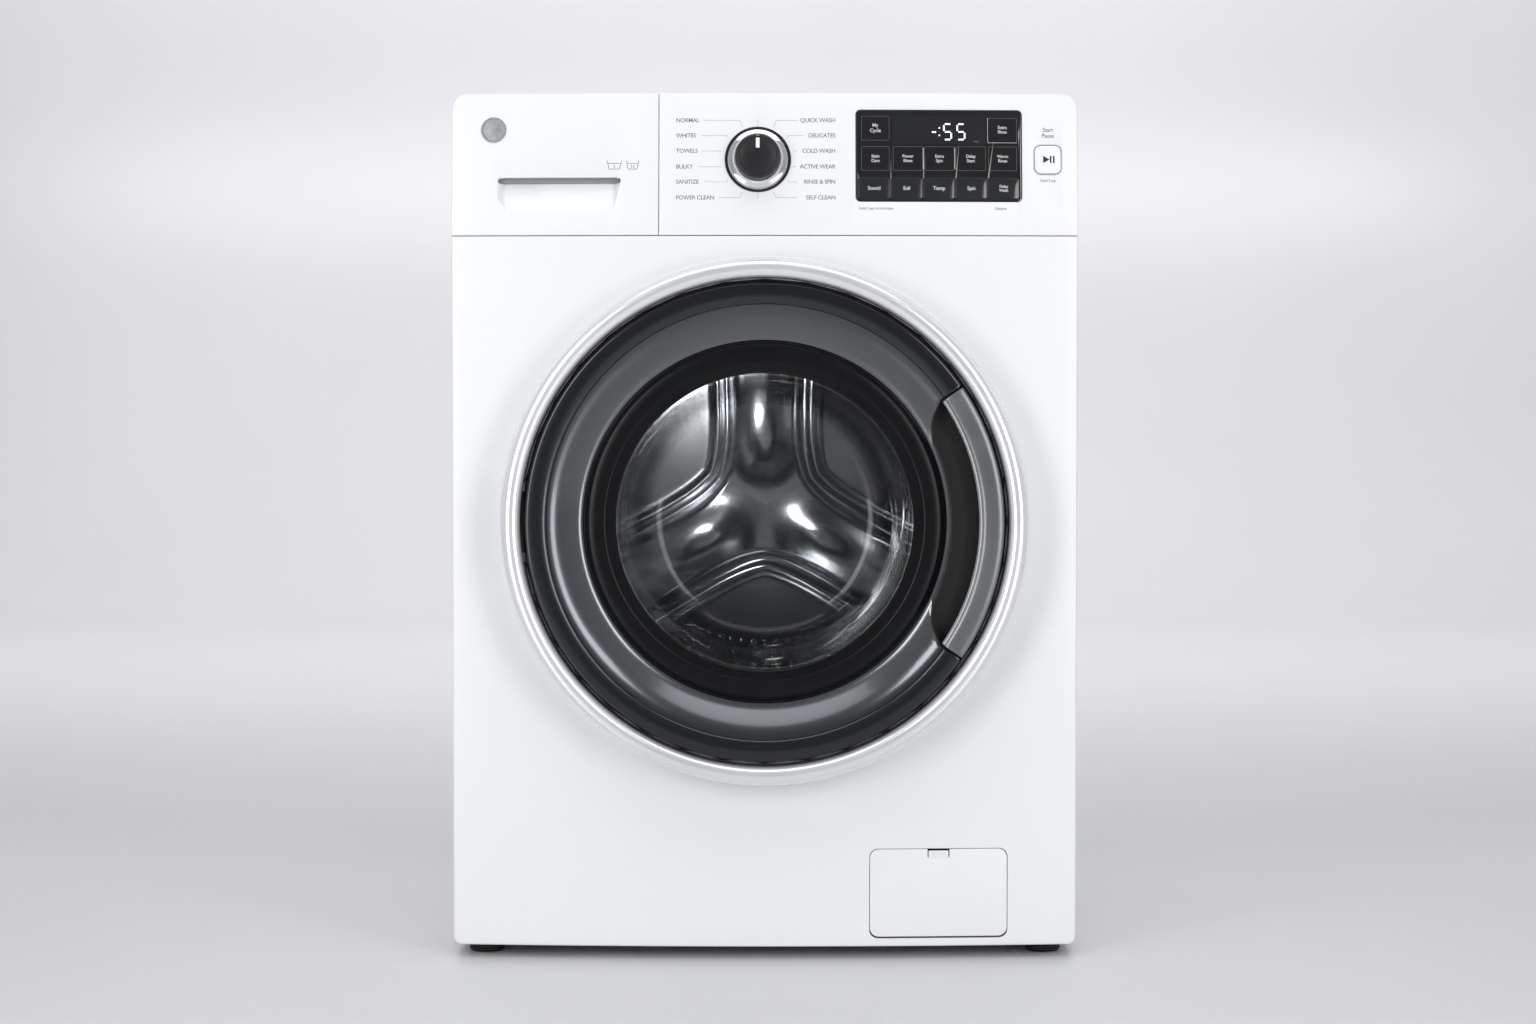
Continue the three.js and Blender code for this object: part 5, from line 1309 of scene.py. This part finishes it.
# ---- Pump filter
# Light grey polypropylene plug with a grip bar; it screws into the pump's housing.
grey_pp = surface("moulded_polypropylene_grey", "b9bcbe", "adb0b2", 20, 0.46, 0.05, 0.9, 0.03)
FILTER_X, FILTER_Z = 167.0, 63.0
plug = turned(
    "pump_filter_plug",
    [
        (0.001, -244.5), (24, -244.5), (27.6, -244.1), (29.4, -243.2), (30, -241.6), (30, -236),
        (29.2, -234.5), (25, -234.5), (24.8, -226),
        (23.4, -224), (24.8, -222), (23.4, -220), (24.8, -218), (23.4, -216), (24.4, -214), (24, -168),
        (22.6, -164.5), (0.001, -164.5),
    ],
    72,
    centre=(FILTER_X, 0, FILTER_Z),
)
bar_grip = plate(
    "bar", (FILTER_X - 4, FILTER_X + 4), (-258.4, -243), (FILTER_Z - 20, FILTER_Z + 20), (3.4,) * 4, 5,
)
soften(bar_grip, 0.9, 3)
combine(plug, "UNION", bar_grip)
fit(plug, grey_pp, "filter", ["pump_filter"], smooth=40)

# ---- Feet
# Ribbed black rubber pads moulded on M10 studs.
foot_rubber = surface("moulded_rubber_black", "1c1c1d", "151516", 9, 0.72, 0.05, 0.7, 0.04)
FEET = ((-271, -210.5), (271, -210.5), (-271, 257.5), (271, 257.5))


def upright(name, outline, x, y, steps=64):
    """Closed outline of (radius, z) turned about a vertical axis."""
    piece = turned(name, outline, steps, centre=(0, 0, 0))
    piece.data.transform(
        Matrix.Translation(Vector((x, y, 0)) * MM) @ Matrix.Rotation(math.radians(90), 4, "X"),
    )
    return piece


for i, (x, y) in enumerate(FEET):
    pad = upright(
        f"foot_pad_{i + 1}",
        [
            (0.001, 0), (14.6, 0), (15.4, 0.5), (15.8, 1.4), (17, 2.0), (17, 3.4), (16.3, 3.9), (16.3, 4.7),
            (17, 5.2), (17, 6.6),
            (16.3, 7.1), (16.2, 8.4), (15, 9.2), (8, 10), (0.001, 10),
        ],
        x,
        y,
    )
    fit(pad, foot_rubber, f"level_foot_{i + 1}", [f"foot_{i + 1}"], smooth=40)
    thread = [(4.4 + 0.6 * (k % 2), 9.6 + 0.75 * k) for k in range(38)]
    stud = upright(f"foot_stud_{i + 1}", [(0.001, 9.6), *thread, (0.001, 37.9)], x, y, 32)
    fit(stud, zinc, f"level_foot_{i + 1}", smooth=25)

# ---- Side panels
# One folded sheet each, powder coated, with a shallow pressed field that stiffens it
# and flanges turned in at the front and the rear.
REAR_Y, TOP_Z = 292.5, 812.0
SIDE = (RETURN_Y + 0.6, REAR_Y - 1.6)
aside = Matrix.Rotation(math.radians(90), 4, "Z")
for hand, side in (("left", -1), ("right", 1)):
    near, far = sorted((side * HALF, side * (HALF - SHEET)))
    sheet = block(f"{hand}_side_sheet", (near, far), SIDE, (FLOOR_GAP, TOP_Z - 0.4))
    field = plate("field", (SIDE[0] + 42, SIDE[1] - 42), (-0.7, 0.7), (62, 762), (34,) * 4, 10)
    field.data.transform(Matrix.Translation((side * HALF * MM, 0, 0)) @ aside)
    combine(sheet, "DIFFERENCE", field)
    inner, deep = sorted((side * (HALF - 0.6), side * (HALF - 18)))
    for front, back in ((SIDE[0], SIDE[0] + SHEET), (SIDE[1] - SHEET, SIDE[1])):
        combine(sheet, "UNION", block("flange", (inner, deep), (front, back), (FLOOR_GAP + 0.3, TOP_Z - 0.7)))
    soften(sheet, 0.45, 2, 40)
    fit(sheet, powder_coat, "cabinet", [f"{hand}_side_panel"])

# ---- Worktop
# White laminated lid with rounded long edges and a shallow field, open underneath.
lid = plate(
    "worktop", (-HALF, HALF), (RETURN_Y + 0.6, REAR_Y), (TOP_Z, TOP), (0, 0, TOP_CORNER, TOP_CORNER), 10,
)
choose(lid, "FACE", lambda at, face: face.normal.z < -0.9)
bpy.ops.mesh.inset(thickness=2 * MM)
bpy.ops.mesh.extrude_region_move(TRANSFORM_OT_translate={"value": (0, 0, 12 * MM)})
close_edit()
field = plate("field", (-HALF + 24, HALF - 24), (-0.8, 0.8), (-REAR_Y + 26, -RETURN_Y - 18), (16,) * 4, 8)
field.data.transform(Matrix.Translation((0, 0, TOP * MM)) @ Matrix.Rotation(math.radians(90), 4, "X"))
combine(lid, "DIFFERENCE", field)
soften(lid, 0.8, 3, 40)
laminate = surface("pressed_laminate_white", "f3f4f5", "efeff1", 35, 0.38, 0.04, 0.9, 0.03)
fit(lid, laminate, "cabinet", ["top_panel"])

# ---- Rear panel
# Galvanised sheet with pressed ribs, held by pan-head screws, with a dished cover over
# the pulley and holes for the two inlet stubs.
galvanised = surface("hot_dip_galvanised_steel", "b3b6b8", "a1a4a6", 9, 0.4, 0.08, 1.4, 0.01, Metallic=0.9)
rear = block("rear_sheet", (-HALF, HALF), (REAR_Y - SHEET, REAR_Y), (FLOOR_GAP, TOP_Z - 0.4))
ribs = [plate("rib", (x - 7, x + 7), (REAR_Y - 0.6, REAR_Y + 2.4), (60, 200), (7,) * 4) for x in (-90, 0, 90)]
ribs += [
    plate("rib", (x - 7, x + 7), (REAR_Y - 0.6, REAR_Y + 2.4), (250, 590), (7,) * 4)
    for x in (-215, 215)
]
ribs += [plate("rib", (-230, 60), (REAR_Y - 0.6, REAR_Y + 2.4), (z - 7, z + 7), (7,) * 4) for z in (640, 690)]
combine(rear, "UNION", *ribs)
VALVES = ((195.0, 770.0), (245.0, 770.0))
holes = [
    turned("hole", [(0.001, 280), (14, 280), (14, 300), (0.001, 300)], 48, centre=(x, 0, z))
    for x, z in VALVES
]
combine(
    rear, "DIFFERENCE", plate("hatch", (-130, 130), (280, 300), (DOOR_Z - 130, DOOR_Z + 130), (20,) * 4),
    *holes,
)
soften(rear, 1.0, 3, 40)
fit(rear, galvanised, "cabinet", ["rear_panel"])
cover = plate(
    "rear_cover_pressing", (-150, 150), (REAR_Y + 0.4, REAR_Y + 1.6), (DOOR_Z - 150, DOOR_Z + 150),
    (20,) * 4, 8,
)
dome = plate("dome", (-134, 134), (REAR_Y + 0.8, REAR_Y + 10.3), (DOOR_Z - 134, DOOR_Z + 134), (18,) * 4, 8)
soften(dome, 4, 4, 60)
combine(cover, "UNION", dome)
inner_dome = plate(
    "dome_inside", (-132.8, 132.8), (REAR_Y, REAR_Y + 8.9), (DOOR_Z - 132.8, DOOR_Z + 132.8), (17,) * 4, 8,
)
combine(cover, "DIFFERENCE", inner_dome)
grooves = [
    plate("groove", (-90, 90), (REAR_Y + 9.6, REAR_Y + 14), (z - 5, z + 5), (5,) * 4)
    for z in (DOOR_Z - 70, DOOR_Z, DOOR_Z + 70)
]
combine(cover, "DIFFERENCE", *grooves)
soften(cover, 0.3, 2, 50)
fit(cover, galvanised, "cabinet", ["rear_access_cover"])

screw_places = [(x, z) for x in (-288, 288) for z in (60, 250, 440, 620, 790)]
screw_places += [(x, z) for x in (-142, 142) for z in (DOOR_Z - 142, DOOR_Z + 142)]
heads = []
for x, z in screw_places:
    seat_y = REAR_Y + (1.6 if abs(x) < 150 else 0)
    head = turned(
        "screw",
        [
            (0.001, seat_y - 0.3), (4.4, seat_y - 0.3), (4.4, seat_y + 0.7), (3.8, seat_y + 1.9),
            (2.4, seat_y + 2.6), (0.001, seat_y + 2.8),
        ],
        20,
        centre=(x, 0, z),
    )
    combine(
        head, "DIFFERENCE",
        block("cross", (x - 2.4, x + 2.4), (seat_y + 1.4, seat_y + 4), (z - 0.5, z + 0.5)),
        block("cross", (x - 0.5, x + 0.5), (seat_y + 1.4, seat_y + 4), (z - 2.4, z + 2.4)),
    )
    heads.append(head)
screws = join("rear_screws", heads)
fit(screws, zinc, "cabinet", smooth=35)

# ---- Water inlet
# Twin solenoid valve in grey polypropylene behind the rear sheet; its two stubs carry a
# three-quarter inch thread.
body = plate("inlet_valve_body", (175, 265), (230.5, 290.8), (752, 788), (6,) * 4, 5)
for x, z in VALVES:
    threads = []
    for k in range(9):
        threads += [(13.0, 296.5 + 1.8 * k), (12.0, 297.4 + 1.8 * k)]
    stub = turned(
        "stub", [(9, 286), (13, 286), (13, 295.6), *threads, (12.0, 312.5), (9.6, 312.5), (9, 311.9)], 64,
        centre=(x, 0, z),
    )
    combine(body, "UNION", stub)
soften(body, 0.4, 2, 60)
fit(body, grey_pp, "cabinet", ["inlet_valve"], smooth=40)

# ---- Drain outlet and cable gland
# Black moulded outlets low on the rear sheet, with nothing fitted to them.
outlet = turned(
    "drain_outlet",
    [
        (8.2, 288), (19, 288), (19, 293.6), (18, 294.8), (13.4, 296), (12.6, 309), (11.6, 309.8),
        (9, 309.8), (8.2, 309),
    ],
    64, centre=(-235, 0, 105),
)
fit(outlet, black_abs, "cabinet", smooth=40)
gland = turned(
    "cable_gland",
    [
        (0.001, 289), (12, 289), (12, 295.4), (11.2, 296.6), (7.6, 298), (7.2, 304), (6.2, 305), (4.6, 305),
        (4.2, 303), (0.001, 303),
    ],
    48, centre=(235, 0, 105),
)
fit(gland, black_abs, "cabinet", smooth=40)

# ---- Base
# Folded galvanised tray that carries the feet, the dampers, the pump and the motor.
carry("base_tray", "base_tray_folded", galvanised, "cabinet", 0.4)

# ---- Dispenser
# Grey drawer with three compartments, and the tub-white housing it slides in.
tub_pp = surface("moulded_polypropylene_natural", "cfd0cc", "c5c6c2", 30, 0.5, 0.05, 1.2, 0.03)
carry("drawer_tray", "dispenser_drawer", grey_pp, "drawer", 0.7)
carry("dispenser_housing", "dispenser_housing_moulding", tub_pp, "cabinet", 0.7)

# ---- Tub
# Two glass-filled polypropylene halves bolted at a flange, on springs and dampers, with
# cast weights, a tubular heater, two bearings and the drum's shaft behind.
carry("tub_front", "tub_front_half", tub_pp, "washing_group", 0.8, 30, 40)
carry("tub_rear", "tub_rear_half", tub_pp, "washing_group", 0.8, 30, 40)
cast_stone = surface("cast_concrete", "96948e", "7f7d78", 8, 0.88, 0.05, 1.6, 0.25)
carry("upper_counterweight", "upper_weight", cast_stone, "washing_group", 2.0)
carry("front_counterweight", "front_weight", cast_stone, "washing_group", 1.5, 40, 45)
incoloy = surface("sheathed_heater_tube", "8b8680", "77726d", 16, 0.38, 0.06, 0.8, 0.01, Metallic=1.0)
carry("heater", "heater_tube", incoloy, "washing_group", 0, 35, 70)
ground_steel = surface("ground_bearing_steel", "b9bcbf", "a9acaf", 14, 0.22, 0.05, 0.5, 0.004, Metallic=1.0)
carry("bearing_front", "front_bearing", ground_steel, "washing_group", 0.6, 40, 40)
carry("bearing_rear", "rear_bearing", ground_steel, "washing_group", 0.6, 40, 40)
cast_metal = surface("die_cast_aluminium", "a6a8aa", "949698", 12, 0.48, 0.07, 1.0, 0.05, Metallic=0.95)
carry("drum_spider", "drum_spider_casting", cast_metal, "drum_group", 1.0, 30, 40)
carry("drum_pulley", "drum_pulley_casting", cast_metal, "drum_group", 0.8, 30, 40)
belt_rubber = surface("ribbed_belt_rubber", "1b1b1c", "131314", 7, 0.7, 0.05, 0.8, 0.06)
carry("drive_belt", "poly_v_belt", belt_rubber, "washing_group", 0.5, 50, 60)

# ---- Motor
# Pressed steel can with a small grooved pulley.
carry("motor", "motor_can", zinc, "washing_group", 1.0, 30, 40)
carry("motor_pulley", "motor_pulley_turned", ground_steel, "motor_rotor", 0.5, 30, 40)

# ---- Suspension
# Friction dampers below and coil springs above; the springs stretch between the cabinet
# and the tub.
for hand in ("left", "right"):
    carry(f"damper_cylinder_{hand}", f"damper_tube_{hand}", grey_pp, "cabinet", 0.8, 40, 40)
    carry(f"damper_rod_{hand}", f"damper_piston_{hand}", zinc, "washing_group", 0.6, 40, 40)


def flexible(node, name, material):
    """Carried copy of a node that spans the cabinet and the tub, left on no body."""
    piece = carry(node, name, material, "cabinet", 0, 35, 70)
    piece.parent = None
    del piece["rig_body"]
    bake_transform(piece)
    return piece


for hand, side in (("left", -1), ("right", 1)):
    x = 0.225 * side
    flexible(f"spring_{hand}", f"coil_spring_{hand}", zinc)

# ---- Pump and hoses
# Drain pump with its filter housing, and two EPDM hoses to the tub.
carry("drain_pump", "drain_pump_body", grey_pp, "cabinet", 0.8, 30, 40)
flexible(
    "sump_hose", "sump_bellows", foot_rubber,
)
flexible(
    "dispenser_hose", "dispenser_bellows", foot_rubber,
)

bpy.context.view_layer.update()
